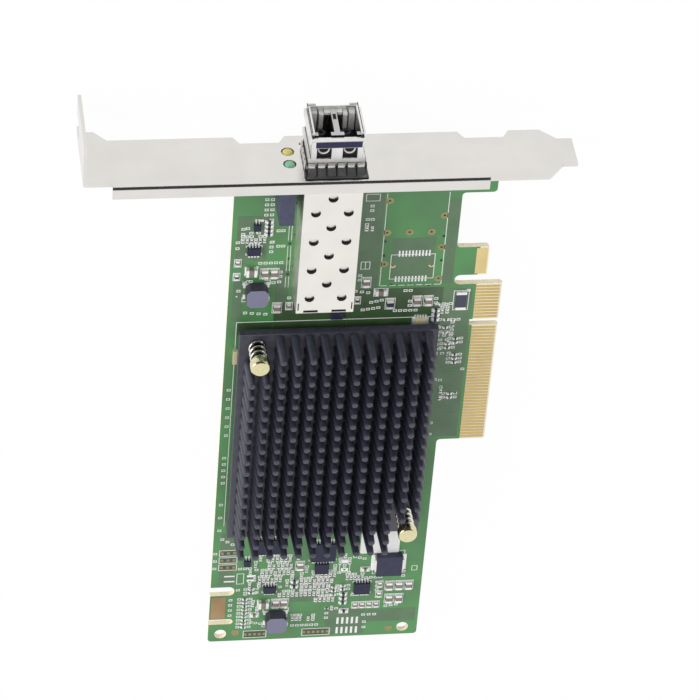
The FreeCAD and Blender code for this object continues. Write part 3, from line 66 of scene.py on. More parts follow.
# %% Name the board's faces
def box_of(node):
    """Lowest and highest corner of a node, in metres."""
    return [Vector(corner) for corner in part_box(node)]


board_low, board_high = box_of("circuit_board")
TOP = board_high.z
UNDER = board_low.z
print("board from", board_low, "to", board_high)

# %% [markdown]
# Every operator works on what is selected, and loading leaves the nodes selected.
# These helpers clear the selection, add a primitive at its size and place, and pick faces or edges
# by a test.

# %% Helpers that add a primitive
def clear_selection():
    """Leave edit mode and select nothing."""
    if bpy.context.object and bpy.context.object.mode != "OBJECT":
        bpy.ops.object.mode_set(mode="OBJECT")
    bpy.ops.object.select_all(action="DESELECT")


def settle(name):
    """Name the new object and put its place, turn and scale into its mesh."""
    piece = bpy.context.object
    piece.name = name
    piece.data.name = name
    bpy.ops.object.transform_apply(location=True, rotation=True, scale=True)
    return piece


def add_block(name, low, high):
    """A block between two corners."""
    clear_selection()
    low = Vector(low)
    high = Vector(high)
    bpy.ops.mesh.primitive_cube_add(size=1, location=(low + high) / 2, scale=high - low)
    return settle(name)


def add_rod(name, foot, radius, length, sides, turn=(0, 0, 0)):
    """An upright rod on its foot, turned about that foot."""
    clear_selection()
    middle = Vector(foot) + Matrix.Rotation(turn[0], 3, "X") @ Vector((0, 0, length / 2))
    bpy.ops.mesh.primitive_cylinder_add(vertices=sides, radius=radius, depth=length, location=middle,
                                        rotation=turn)
    return settle(name)


# %% Helpers that shape it
def pick(piece, test, kind="FACE"):
    """Go into edit mode with only the faces or edges that pass a test selected."""
    bpy.context.view_layer.objects.active = piece
    bpy.ops.object.mode_set(mode="EDIT")
    bpy.context.tool_settings.mesh_select_mode = (False, kind == "EDGE", kind == "FACE")
    bpy.ops.mesh.select_all(action="DESELECT")
    mesh = bmesh.from_edit_mesh(piece.data)
    mesh.normal_update()
    for item in (mesh.faces if kind == "FACE" else mesh.edges):
        item.select_set(test(item))
    bmesh.update_edit_mesh(piece.data)


def done():
    """Back to object mode."""
    bpy.ops.object.mode_set(mode="OBJECT")


def extrude(x, y, z):
    """Draw the picked face out along a way."""
    bpy.ops.mesh.extrude_region_move(TRANSFORM_OT_translate={"value": (x, y, z)})


def edge_at(axis, place):
    """A test for edges that lie at one place along an axis."""
    return lambda edge: all(abs(vert.co[axis] - place) < 1e-6 for vert in edge.verts)


def bevel_edges(piece, test, width, segments=2):
    """Round the edges that pass a test."""
    pick(piece, test, "EDGE")
    bpy.ops.mesh.bevel(offset=width, segments=segments, affect="EDGES")
    done()


def smooth(piece, degrees=40):
    """Shade smooth over all but the sharp edges."""
    clear_selection()
    piece.select_set(True)
    bpy.context.view_layer.objects.active = piece
    bpy.ops.object.shade_smooth_by_angle(angle=math.radians(degrees))


# %% Helpers that join, copy and dress
def join(pieces, name):
    """Make one piece of several."""
    clear_selection()
    for piece in pieces:
        piece.select_set(True)
    bpy.context.view_layer.objects.active = pieces[0]
    if len(pieces) > 1:
        bpy.ops.object.join()
    pieces[0].name = name
    pieces[0].data.name = name
    return pieces[0]


def copies(pattern, places, name):
    """Copies of a pattern, each with its own mesh, moved and stretched, and joined into one piece.

    A place is a position, or a position and a stretch along each axis."""
    made = []
    for place in places:
        position, stretch = place if len(place) == 2 else (place, (1, 1, 1))
        twin = pattern.copy()
        twin.data = pattern.data.copy()
        twin.data.transform(Matrix.Translation(position) @ Matrix.Diagonal((*stretch, 1)))
        bpy.context.collection.objects.link(twin)
        made.append(twin)
    bpy.data.objects.remove(pattern)
    return join(made, name)


def dress(piece, body, material, replaced=()):
    """Give a piece its finish, the body that it rides on and the nodes that it stands for."""
    piece.data.materials.clear()
    piece.data.materials.append(material)
    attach(piece, body)
    if replaced:
        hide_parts(*replaced)
    print(piece.name, "on", body, "with", len(piece.data.polygons), "faces")


def spread(pattern, places, name, slot, material, body="card"):
    """Copy a pattern to every place, and dress the lot as one piece."""
    dress(copies(pattern, places, name), body, material)


# %% [markdown]
# A photograph of a small object from about a metre away has almost no perspective, so the lens is long.
# The card lies with its parts up, and the picture is taken from in front of its bracket, turned over.

# %% Camera
CAMERA_PLACE = Vector((-177.92, 667.0, 769.74)) * MM
CAMERA_TURN = (-41.384, -7.127, 3.766)
CAMERA_LENS = 210.77
SENSOR_WIDTH = 36
SIGHT = 10

clear_selection()
camera_turn = [math.radians(angle) for angle in CAMERA_TURN]
bpy.ops.object.camera_add(location=CAMERA_PLACE, rotation=camera_turn)
camera = bpy.context.object
camera.data.sensor_width = SENSOR_WIDTH
camera.data.lens = CAMERA_LENS
camera.data.clip_end = SIGHT
bpy.context.scene.camera = camera
bpy.context.scene.view_settings.view_transform = "Standard"
print("camera at", camera.location)

# %% [markdown]
# Materials and light are trees of nodes. These helpers add a node, feed it with another node's result or
# a plain value, and give back its own result, so that a tree reads like a sum.

# %% Helpers for node trees
def add_node(tree, kind, **values):
    """A node of a kind, with some of its inputs or settings given by name."""
    node = tree.nodes.new(kind)
    for key, value in values.items():
        name = key.replace("_", " ").title()
        if name in node.inputs:
            node.inputs[name].default_value = value
        else:
            setattr(node, key, value)
    return node


def feed(socket, value):
    """Link an input to another node's result, or give it a plain value."""
    if isinstance(value, bpy.types.NodeSocket):
        socket.id_data.links.new(value, socket)
    else:
        socket.default_value = value


def calculate(operation, first, second=0.0):
    """A sum on two values, of which at least one is a node's result, and its own result."""
    linked = first if isinstance(first, bpy.types.NodeSocket) else second
    node = add_node(linked.id_data, "ShaderNodeMath", operation=operation)
    feed(node.inputs[0], first)
    feed(node.inputs[1], second)
    return node.outputs[0]


def mix(share, first, second):
    """The first colour where a share is 0 and the second where it is 1."""
    node = add_node(share.id_data, "ShaderNodeMix", data_type="RGBA")
    for index, value in ((0, share), (6, first), (7, second)):
        feed(node.inputs[index], value)
    return node.outputs[2]


def ramp(source, stops):
    """A colour ramp on a value, from a list of positions and colours."""
    node = add_node(source.id_data, "ShaderNodeValToRGB")
    while len(node.color_ramp.elements) < len(stops):
        node.color_ramp.elements.new(1.0)
    for element, (position, colour) in zip(node.color_ramp.elements, stops):
        element.position = position
        element.color = (*colour, 1)
    feed(node.inputs[0], source)
    return node.outputs[0]


# %% [markdown]
# The studio is white all round, which the camera and every shiny surface see, except for a dark room
# behind the camera. Metal edges that face the camera pick up that dark room as a thin black line.

# %% Studio
DARK_ROOM = Vector((-0.14, 0.65, 0.74)).normalized()
DOORWAY = [(0.48, (1, 1, 1)), (0.62, (0.03, 0.03, 0.035))]
ROOM_LIGHT = (0.82, 0.82, 0.82, 1)
WHITE = (1, 1, 1, 1)

world = bpy.data.worlds.new("studio")
bpy.context.scene.world = world
world.use_nodes = True
tree = world.node_tree
tree.nodes.clear()
path = add_node(tree, "ShaderNodeLightPath")
facing = add_node(tree, "ShaderNodeVectorMath", operation="DOT_PRODUCT")
feed(facing.inputs[0], add_node(tree, "ShaderNodeTexCoord").outputs["Generated"])
feed(facing.inputs[1], DARK_ROOM)
room = ramp(facing.outputs["Value"], DOORWAY)
mirrored = mix(path.outputs["Is Glossy Ray"], ROOM_LIGHT, room)
seen = calculate("MAXIMUM", path.outputs["Is Camera Ray"], path.outputs["Is Transmission Ray"])
background = add_node(tree, "ShaderNodeBackground")
feed(background.inputs["Color"], mix(seen, mirrored, WHITE))
output = add_node(tree, "ShaderNodeOutputWorld")
feed(output.inputs["Surface"], background.outputs[0])
print("studio: white with a dark room towards", DARK_ROOM)

# %% [markdown]
# Most light comes from all round. One large soft lamp on the left gives the pins and parts a bright side.

# %% Key lamp
KEY_PLACE = Vector((-0.9, 0.25, 0.55))
KEY_AIM = Vector((-0.04, 0, 0))
KEY_SIZE = 0.6
KEY_POWER = 5.0

clear_selection()
bpy.ops.object.light_add(type="AREA", location=KEY_PLACE)
key = bpy.context.object
key.data.size = KEY_SIZE
key.data.energy = KEY_POWER
key.rotation_euler = (KEY_AIM - KEY_PLACE).to_track_quat("-Z", "Y").to_euler()
print("key lamp at", key.location)

# %% [markdown]
# The floor is white paper. The camera and shiny surfaces see it glow, and the small share that doesn't
# glow is plain paper, which keeps the card's shadow.

# %% Floor
FLOOR_LEVEL = cad_box[0][2] - 0.2 * MM
FLOOR_SIZE = 6
GLOW_SHARE = 0.97
PAPER_WHITE = (0.9, 0.9, 0.9, 1)

clear_selection()
bpy.ops.mesh.primitive_plane_add(size=FLOOR_SIZE, location=(0, 0, FLOOR_LEVEL))
floor = settle("floor")
paper = bpy.data.materials.new("paper")
paper.use_nodes = True
tree = paper.node_tree
tree.nodes.clear()
path = add_node(tree, "ShaderNodeLightPath")
seen = calculate("MAXIMUM", path.outputs["Is Camera Ray"], path.outputs["Is Glossy Ray"])
seen = calculate("MAXIMUM", seen, path.outputs["Is Transmission Ray"])
layers = add_node(tree, "ShaderNodeMixShader")
feed(layers.inputs[0], calculate("MULTIPLY", seen, GLOW_SHARE))
feed(layers.inputs[1], add_node(tree, "ShaderNodeBsdfDiffuse", color=PAPER_WHITE).outputs[0])
feed(layers.inputs[2], add_node(tree, "ShaderNodeEmission").outputs[0])
output = add_node(tree, "ShaderNodeOutputMaterial")
feed(output.inputs["Surface"], layers.outputs[0])
floor.data.materials.append(paper)
print("floor at", FLOOR_LEVEL)

# %% [markdown]
# Finishes. Each starts from the same few nodes: Object coordinates, a fine noise that varies the colour
# and the roughness, and a bump. The numbers that stay the same all over sit on the shader itself.

# %% The shared start of every finish
class Finish:
    """A material with its shader, its coordinates and helpers to vary it."""

    def __init__(self, name, metallic=0.0, roughness=0.5, specular=0.5):
        self.material = bpy.data.materials.new(name)
        self.material.use_nodes = True
        self.tree = self.material.node_tree
        self.shader = self.tree.nodes["Principled BSDF"]
        self.shader.inputs["Metallic"].default_value = metallic
        self.shader.inputs["Roughness"].default_value = roughness
        self.shader.inputs["Specular IOR Level"].default_value = specular
        self.place = add_node(self.tree, "ShaderNodeTexCoord").outputs["Object"]

    def coat(self, weight, roughness=0.03):
        """A clear gloss over the colour."""
        self.shader.inputs["Coat Weight"].default_value = weight
        self.shader.inputs["Coat Roughness"].default_value = roughness

    def noise(self, grain, detail=3.0, stretch=(1, 1, 1)):
        """Noise with grains of a given size in metres."""
        mapping = add_node(self.tree, "ShaderNodeMapping", scale=stretch)
        node = add_node(self.tree, "ShaderNodeTexNoise", scale=1 / grain, detail=detail)
        feed(mapping.inputs["Vector"], self.place)
        feed(node.inputs["Vector"], mapping.outputs[0])
        return node.outputs["Fac"]

    def paint(self, colour):
        """Use the result of a colour node all over."""
        feed(self.shader.inputs["Base Color"], colour)

    def colour(self, source, stops):
        """Paint with a ramp on a value."""
        self.paint(ramp(source, stops))

    def two_tone(self, share, source, first, second):
        """Paint one colour where a share is 0 and another where it is 1, each given with its spread."""
        tones = [ramp(source, shades(*tone)) for tone in (first, second)]
        self.paint(mix(share, *tones))

    def part_of(self, vector, axis):
        """One part of a vector."""
        parts = add_node(self.tree, "ShaderNodeSeparateXYZ")
        feed(parts.inputs[0], vector)
        return parts.outputs[axis]

    def looks(self, axis):
        """How far a face looks along an axis, from -1 to 1."""
        return self.part_of(add_node(self.tree, "ShaderNodeNewGeometry").outputs["Normal"], axis)

    def at(self, axis):
        """Where a point lies along an axis, in metres."""
        return self.part_of(self.place, axis)

    def above(self, value, limit):
        """1 where a value is above a limit, else 0."""
        return calculate("GREATER_THAN", value, limit)

    def below(self, value, limit):
        """1 where a value is below a limit, else 0."""
        return calculate("LESS_THAN", value, limit)

    def both(self, first, second):
        """1 where two shares are both 1."""
        return calculate("MULTIPLY", first, second)

    def between(self, value, low, high):
        """1 where a value lies between two limits, else 0."""
        return self.both(self.above(value, low), self.below(value, high))

    def roughness(self, source, low, high):
        """Let the roughness follow a value between two limits."""
        node = add_node(self.tree, "ShaderNodeMapRange", to_min=low, to_max=high)
        feed(node.inputs["Value"], source)
        feed(self.shader.inputs["Roughness"], node.outputs[0])

    def bump(self, source, height, strength=0.4):
        """Raise the surface where a value is high."""
        node = add_node(self.tree, "ShaderNodeBump", strength=strength, distance=height)
        feed(node.inputs["Height"], source)
        feed(self.shader.inputs["Normal"], node.outputs[0])


def shades(colour, spread):
    """Two stops, darker and lighter than a colour."""
    darker = [part * (1 - spread) for part in colour]
    lighter = [min(part * (1 + spread), 1) for part in colour]
    return [(0.3, darker), (0.7, lighter)]


# %% [markdown]
# Most pieces of the card are rolled or plated metal, moulded resin, glazed ceramic or ink. One function
# makes each kind, so that a finish is only a name, a colour and how rough it is.

# %% Kinds of finish
def rolled_metal(name, colour, roughness, spread=0.04, stretch=(1, 1, 1), metallic=1.0):
    """Sheet metal with a fine rolled grain and a few faint clouds."""
    finish = Finish(name, metallic=metallic)
    fine = finish.noise(0.4 * MM, 4.0, stretch)
    finish.colour(finish.noise(9 * MM), shades(colour, spread))
    finish.roughness(fine, roughness * 0.8, roughness * 1.25)
    finish.bump(fine, 0.004 * MM)
    return finish.material


def moulded(name, colour, roughness, grain=0.12 * MM, spread=0.12, specular=0.45):
    """Moulded resin with a fine matt skin."""
    finish = Finish(name, specular=specular)
    skin = finish.noise(grain, 2.0)
    finish.colour(finish.noise(1.5 * MM), shades(colour, spread))
    finish.roughness(skin, roughness * 0.85, roughness * 1.15)
    finish.bump(skin, 0.01 * MM)
    return finish.material


def coated(name, colour, roughness, spread, coat):
    """A coloured coat with a clear gloss over it."""
    finish = Finish(name)
    finish.coat(coat, 0.2)
    skin = finish.noise(0.3 * MM)
    finish.colour(skin, shades(colour, spread))
    finish.roughness(skin, roughness * 0.85, roughness * 1.15)
    return finish.material


def ferrite_with_painted_shade(name, top, side):
    """Pressed powder: a pale flat top, and sides painted darker as shade."""
    finish = Finish(name, specular=0.35)
    grains = finish.noise(0.3 * MM, 2.0)
    # painted shade: faces that don't look up take the darker side colour
    finish.two_tone(finish.above(finish.looks("Z"), 0.8), grains, (side, 0.2), (top, 0.1))
    finish.roughness(grains, 0.45, 0.6)
    finish.bump(grains, 0.01 * MM)
    return finish.material


def clear_lens(name, colour):
    """A tinted lens that scatters a little light."""
    finish = Finish(name, roughness=0.25)
    finish.shader.inputs["Subsurface Weight"].default_value = 0.3
    finish.shader.inputs["Subsurface Radius"].default_value = (MM, MM, 0.4 * MM)
    finish.coat(0.5)
    finish.colour(finish.noise(0.8 * MM), shades(colour, 0.12))
    return finish.material


def plain(name, colour, roughness, grain, spread):
    """One colour with faint clouds, as ink and thin lacquer have."""
    finish = Finish(name, roughness=roughness)
    finish.colour(finish.noise(grain), shades(colour, spread))
    return finish.material


# %% Finishes of the pieces
steel = rolled_metal("bracket_satin_steel", (0.76, 0.74, 0.71), 0.22, 0.03, (0.12, 1, 1))
screw_steel = rolled_metal("screw_zinc", (0.72, 0.72, 0.7), 0.3, 0.08)
cage_nickel = rolled_metal("cage_nickel", (0.86, 0.84, 0.79), 0.36, 0.03)
satin_nickel = rolled_metal("satin_nickel", (0.82, 0.81, 0.79), 0.35, metallic=0.5)
# nickel painted dark as shade, for the collar's lip
nickel_in_painted_shade = rolled_metal("nickel_in_painted_shade", (0.17, 0.17, 0.175), 0.4, 0.1)
tin = rolled_metal("bright_tin", (0.9, 0.9, 0.88), 0.3, 0.06, metallic=0.55)
solder = rolled_metal("bright_solder", (0.92, 0.92, 0.9), 0.38, 0.06, metallic=0.55)
gold = rolled_metal("tab_gold", (0.76, 0.61, 0.29), 0.3, 0.08)
contact_gold = rolled_metal("contact_gold", (0.6, 0.45, 0.19), 0.3, 0.08)
aged_gold = rolled_metal("aged_gold", (0.33, 0.31, 0.165), 0.4, 0.15)
copper = rolled_metal("bare_copper", (0.43, 0.29, 0.16), 0.45, 0.15)
wire = rolled_metal("spring_wire", (0.78, 0.76, 0.66), 0.16, 0.06)
anodised = moulded("black_anodised", (0.036, 0.036, 0.058), 0.4, 0.2 * MM, 0.25, 0.72)
black_moulding = moulded("black_moulding", (0.024, 0.025, 0.056), 0.5, specular=0.3)
choke_moulding = moulded("choke_moulding", (0.036, 0.037, 0.075), 0.5, specular=0.35)
holder_grey = moulded("holder_moulding", (0.062, 0.066, 0.118), 0.45, specular=0.35)
guide_grey = moulded("guide_grey", (0.72, 0.71, 0.69), 0.35)
strip_navy = moulded("strip_navy", (0.022, 0.022, 0.07), 0.4, specular=0.3)
# near-black painted shade for the vent crescents and the plates in the cage's slots and the divider's slot
vent_shade = moulded("vent_painted_shade", (0.012, 0.012, 0.012), 0.6, specular=0.2)
# near-black painted shade for the inside of drilled holes
drill_shade = moulded("drilled_hole_painted_shade", (0.03, 0.035, 0.02), 0.6)
sleeve_grey = moulded("sleeve_ceramic", (0.07, 0.07, 0.072), 0.3)
thermal_grey = moulded("thermal_pad_grey", (0.4, 0.41, 0.42), 0.7, 0.4 * MM)
ferrite = ferrite_with_painted_shade("ferrite_grey", (0.2, 0.2, 0.29), (0.05, 0.05, 0.07))
navy_ceramic = coated("resistor_navy", (0.02, 0.022, 0.06), 0.3, 0.2, 0.5)
beige_ceramic = coated("oscillator_beige", (0.62, 0.55, 0.33), 0.35, 0.1, 0.3)
tan_ceramic = coated("capacitor_tan", (0.22, 0.185, 0.15), 0.4, 0.15, 0.2)
yellow_lens = clear_lens("yellow_lens", (0.66, 0.6, 0.16))
green_lens = clear_lens("green_lens", (0.22, 0.5, 0.3))
trace_lacquer = plain("lacquer_over_trace", (0.085, 0.2, 0.095), 0.4, 2 * MM, 0.1)
field_lacquer = plain("dark_field_lacquer", (0.06, 0.085, 0.045), 0.45, 2 * MM, 0.15)
white_ink = plain("white_ink", (0.8, 0.81, 0.78), 0.55, 0.4 * MM, 0.08)
print("finishes so far:", len(bpy.data.materials))

# %% [markdown]
# The board is laminate under green lacquer. Lacquer over bare laminate is a clear green; over a copper
# plane it is darker and greyer. The cut edges and the strip round the contacts show the pale laminate,
# so the finish asks which way a face looks and where it lies.

# %% Green lacquer
CONTACT_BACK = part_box("edge_contacts")[0][0]
CONTACT_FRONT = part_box("short_tab_plating")[1][1] + 2 * MM


def lacquer_skin(name, stretch=(1, 1, 1)):
    """A finish with the gloss of lacquer and the weave that shows through it, and that weave."""
    finish = Finish(name)
    finish.coat(0.35, 0.25)
    weave = finish.noise(0.5 * MM, 2.0, stretch)
    finish.roughness(weave, 0.36, 0.46)
    finish.bump(weave, 0.01 * MM, 0.25)
    return finish, weave


def lacquered_board():
    """Green on the flat faces, and pale laminate on the cut edges and beside the contacts."""
    finish, weave = lacquer_skin("board_lacquer", (1, 1, 0.2))
    clouds = finish.noise(14 * MM, 1.0)
    green = ramp(clouds, [(0.4, (0.075, 0.27, 0.08)), (0.6, (0.07, 0.215, 0.072))])
    laminate = ramp(weave, [(0.3, (0.88, 0.79, 0.56)), (0.7, (0.96, 0.89, 0.68))])
    flat = finish.above(calculate("ABSOLUTE", finish.looks("Z")), 0.85)
    beside_contacts = finish.both(finish.above(finish.at("X"), CONTACT_BACK),
                                  finish.below(finish.at("Y"), CONTACT_FRONT))
    elsewhere = calculate("SUBTRACT", 1.0, beside_contacts)
    finish.paint(mix(finish.both(flat, elsewhere), laminate, green))
    return finish.material


def lacquer_over_copper(name, darker, lighter):
    """Lacquer that a copper plane makes darker and greyer."""
    finish = lacquer_skin(name)[0]
    finish.colour(finish.noise(6 * MM, 2.0), [(0.35, darker), (0.65, lighter)])
    return finish.material


lacquer = lacquered_board()
plane_lacquer = lacquer_over_copper("lacquer_over_copper", (0.08, 0.158, 0.075), (0.1, 0.188, 0.094))
# painted shade: the planes before the heat sink get a darker lacquer, for the heat sink's shade
plane_lacquer_in_shade = lacquer_over_copper("lacquer_over_copper_painted_shade", (0.036, 0.08, 0.028), (0.05, 0.1, 0.04))
print("laminate is bare past X", CONTACT_BACK, "up to Y", CONTACT_FRONT)

# %% [markdown]
# Three finishes change with the place. The collar's band lies deep between its upper fingers, and there its
# colour is painted near black as shade, while the fingers are bright. The divider between the fibre ports is
# pale at its front and painted black inside as the shade deep in the ports. The nose is nickel over a die
# casting, with dark seams in its front where the pull frame closes.

# %% Collar, divider and nose
cage_low, cage_high = box_of("port_cage")
PORT_X = (cage_low.x + cage_high.x) / 2
DIVIDER_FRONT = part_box("fibre_receptacle")[1][1]
BAND_DEPTH = 0.8 * MM
BAND_RISE = 0.18 * MM
NICKEL = ((0.8, 0.79, 0.78), 0.08)
SIDE_SEAM = (6.0 * MM, 6.32 * MM)
FLOOR_SEAM = (-1.5 * MM, -1.15 * MM)


def off_port(finish):
    """How far a point lies beside the middle of the port."""
    return calculate("ABSOLUTE", calculate("SUBTRACT", finish.at("X"), PORT_X))


def collar_spring_finish():
    """Bright nickel, painted near black as shade on the band over the cage's roof."""
    finish = Finish("collar_nickel", metallic=1.0)
    clouds = finish.noise(2 * MM)
    within = finish.below(off_port(finish), (cage_high.x - cage_low.x) / 2 + BAND_RISE)
    painted_shade_band = finish.between(finish.at("Z"), cage_high.z - BAND_DEPTH, cage_high.z + BAND_RISE)
    # painted shade: near black on the band where it lies deep between the fingers
    finish.two_tone(finish.both(within, painted_shade_band), clouds, NICKEL, ((0.03, 0.03, 0.035), 0.2))
    finish.roughness(clouds, 0.28, 0.38)
    return finish.material


def divider_with_painted_shade():
    """Pale moulding at its front, painted near black behind it as the shade deep in the ports."""
    finish = Finish("divider_moulding", specular=0.4)
    skin = finish.noise(0.12 * MM, 2.0)
    front = finish.above(finish.at("Y"), DIVIDER_FRONT - 0.05 * MM)
    # painted shade: every face behind the front is near black
    finish.two_tone(front, skin, ((0.012, 0.012, 0.014), 0.2), ((0.55, 0.54, 0.54), 0.08))
    finish.roughness(skin, 0.4, 0.5)
    finish.bump(skin, 0.01 * MM)
    return finish.material


def nose_casting_finish():
    """Nickel with fine pimples, and dark seams on the faces that look forward."""
    finish = Finish("nose_casting", metallic=1.0)
    pimples = finish.noise(0.25 * MM, 2.0)
    beside = off_port(finish)
    upright = finish.between(beside, *SIDE_SEAM)
    level = finish.both(finish.between(finish.at("Z"), *FLOOR_SEAM), finish.below(beside, SIDE_SEAM[0]))
    forward = finish.above(finish.looks("Y"), 0.5)
    seam = finish.both(forward, calculate("MAXIMUM", upright, level))
    nickel = ramp(finish.noise(3 * MM), shades(*NICKEL))
    dark = ramp(pimples, shades((0.02, 0.02, 0.022), 0.2))
    finish.paint(mix(seam, nickel, dark))
    finish.roughness(pimples, 0.24, 0.39)
    finish.bump(pimples, 0.012 * MM)
    return finish.material


collar_spring = collar_spring_finish()
divider = divider_with_painted_shade()
casting = nose_casting_finish()
print("port at", PORT_X, "and divider front at", DIVIDER_FRONT)

# %% [markdown]
# The nodes of the solid model keep their meshes, and each of them gets its finish.

# %% Put the finishes on the solid model
NODE_FINISHES = [
    (lacquer, ["circuit_board", "transceiver_board"]),
    (contact_gold, ["edge_contacts"]),
    (gold, ["short_tab_plating", "host_contacts"]),
    (copper, ["corner_tab_plating"]),
    (steel, ["bracket"]),
    (screw_steel, ["bracket_screws"]),
    (cage_nickel, ["port_cage", "cage_floor", "transceiver_lid"]),
    (collar_spring, ["cage_spring_fingers"]),
    (casting, ["transceiver_housing", "bail_latch"]),
    (divider, ["fibre_receptacle"]),
    (sleeve_grey, ["ferrule_sleeves"]),
    (holder_grey, ["led_holder"]),
    (thermal_grey, ["thermal_pad"]),
    (black_moulding, ["host_connector", "controller_chip", "memory_chips", "regulator_chips",
                      "transistors"]),
    (ferrite, ["power_inductors"]),
    (choke_moulding, ["filter_choke"]),
    (navy_ceramic, ["sense_resistor", "chip_resistors"]),
    (beige_ceramic, ["oscillator"]),
    (tan_ceramic, ["ceramic_capacitors"]),
]
for material, names in NODE_FINISHES:
    for name in names:
        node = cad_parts[name]
        node.data.materials.clear()
        node.data.materials.append(material)
print("finished nodes:", sum(len(names) for material, names in NODE_FINISHES))

# %% [markdown]
# The heat sink is one black anodised block with round pins that taper to a soft tip.
# One pin is modelled and copied. Two corners stay free, because a push pin stands in each.

# %% Heat sink
sink_low, sink_high = box_of("heat_sink")
PIN_COLUMNS = 13
PIN_ROWS = 19
SINK_MARGIN = Vector((2.55, 1.5)) * MM
SINK_BASE = 2.2 * MM
BASE_ROUNDING = 0.25 * MM
PIN_FOOT = 2.5 * MM
PIN_TIP = 1.75 * MM
PIN_ROUNDING = 0.3 * MM
base_top = sink_low.z + SINK_BASE
pitch_x = (sink_high.x - sink_low.x - 2 * SINK_MARGIN.x) / (PIN_COLUMNS - 1)
pitch_y = (sink_high.y - sink_low.y - 2 * SINK_MARGIN.y) / (PIN_ROWS - 1)


def pin_place(column, row):
    """Where a pin stands, counted from the corner with the first push pin."""
    return Vector((sink_low.x + SINK_MARGIN.x + pitch_x * column,
                   sink_high.y - SINK_MARGIN.y - pitch_y * row, base_top))


def by_push_pin(column, row):
    """True at the two corners that make room for the push pins."""
    return (column < 2 and row < 2) or (column > PIN_COLUMNS - 3 and row > PIN_ROWS - 4)


PUSH_PLACES = [pin_place(0.5, 0.5), pin_place(PIN_COLUMNS - 1.5, PIN_ROWS - 2.5)]
pin_places = [pin_place(column, row) for row in range(PIN_ROWS) for column in range(PIN_COLUMNS)
              if not by_push_pin(column, row)]

clear_selection()
pin_height = sink_high.z - base_top
bpy.ops.mesh.primitive_cone_add(vertices=12, radius1=PIN_FOOT / 2, radius2=PIN_TIP / 2, depth=pin_height,
                                location=(0, 0, pin_height / 2))
pin = settle("pin")
bevel_edges(pin, edge_at(2, pin_height), PIN_ROUNDING)
pins = copies(pin, pin_places, "pins")
base = add_block("base", sink_low, (sink_high.x, sink_high.y, base_top))
bevel_edges(base, edge_at(2, base_top), BASE_ROUNDING)
heat_sink = join([base, pins], "heat_sink_pins")
smooth(heat_sink)
dress(heat_sink, "card", anodised, ["heat_sink"])

# %% [markdown]
# Each push pin is a turned brass pin: a domed cap, a stem and a flared barb under the board. The stem inside
# its spring is painted dark as shade. A rod is drawn out by extruding its end face again and again, which is
# how a lathe profile grows by hand.

# %% Push pins
cap_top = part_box("push_pins")[1][2]
barb_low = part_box("push_pins")[0][2]
CAP_RADIUS = 2.5 * MM
CAP_HEIGHT = 2.2 * MM
CAP_WALL = 0.8
DOME_WIDTH = 0.86
CAP_ROUNDING = 0.12 * MM
STEM_RADIUS = 1.2 * MM
BARB_STEP = 0.1 * MM
BARB_FLARE = 1.3
BARB_TIP = 0.4
stem_top = cap_top - CAP_HEIGHT


def draw_out(height, scale):
    """Extrude the picked face upwards and change its width."""
    extrude(0, 0, height)
    bpy.ops.transform.resize(value=(scale, scale, 1))


def pin_brass_finish():
    """Bright brass, painted dark as shade on the stem inside the spring."""
    finish = Finish("push_pin_brass", metallic=1.0)
    clouds = finish.noise(0.4 * MM, 4.0)
    spring_shade_zone = finish.between(finish.at("Z"), base_top, stem_top - 0.02 * MM)
    # painted shade: the stem between the base and the cap, inside the coil, is near black
    finish.two_tone(spring_shade_zone, clouds, ((0.74, 0.69, 0.42), 0.08), ((0.04, 0.036, 0.025), 0.2))
    finish.roughness(clouds, 0.18, 0.28)
    return finish.material


stem = add_rod("push_pin", (0, 0, UNDER), STEM_RADIUS, stem_top - UNDER, 24)
pick(stem, lambda face: face.normal.z > 0.9)
draw_out(0, CAP_RADIUS / STEM_RADIUS)
draw_out(CAP_HEIGHT * CAP_WALL, 1)
draw_out(CAP_HEIGHT * (1 - CAP_WALL), DOME_WIDTH)
done()
pick(stem, lambda face: face.normal.z < -0.9 and face.calc_center_median().z < UNDER + BARB_STEP)
draw_out(-BARB_STEP, BARB_FLARE)
draw_out(barb_low - UNDER + BARB_STEP, BARB_TIP)
done()
bevel_edges(stem, edge_at(2, cap_top), CAP_ROUNDING)
push_pins = copies(stem, [(place.x, place.y, 0) for place in PUSH_PLACES], "push_pins_turned")
smooth(push_pins)
dress(push_pins, "card", pin_brass_finish(), ["push_pins"])

# %% [markdown]
# A coil spring is a small circle swept along a helix. The Screw modifier does that: it turns the circle
# about the axis while it lifts it. The cut ends of the wire are filled afterwards.

# %% Springs
COIL_RADIUS = 2.25 * MM
WIRE_RADIUS = 0.36 * MM
COIL_TURNS = 3.5
STEPS_PER_TURN = 28

clear_selection()
bpy.ops.mesh.primitive_circle_add(vertices=10, radius=WIRE_RADIUS, fill_type="NGON",
                                  location=(COIL_RADIUS - WIRE_RADIUS, 0, base_top + WIRE_RADIUS),
                                  rotation=(math.pi / 2, 0, 0))
coil = settle("coil")
turn = coil.modifiers.new("turn", "SCREW")
turn.angle = COIL_TURNS * 2 * math.pi
turn.screw_offset = stem_top - base_top - 2 * WIRE_RADIUS
turn.steps = int(COIL_TURNS * STEPS_PER_TURN)
turn.render_steps = turn.steps
turn.use_normal_calculate = True
bpy.ops.object.modifier_apply(modifier=turn.name)
pick(coil, lambda face: True)
bpy.ops.mesh.remove_doubles(threshold=0.001 * MM)
bpy.ops.mesh.select_all(action="SELECT")
bpy.ops.mesh.fill_holes(sides=0)
bpy.ops.mesh.select_all(action="SELECT")
bpy.ops.mesh.normals_make_consistent(inside=False)
done()
springs = copies(coil, [(place.x, place.y, 0) for place in PUSH_PLACES], "push_pin_coils")
smooth(springs, 60)
dress(springs, "card", wire, ["push_pin_springs"])

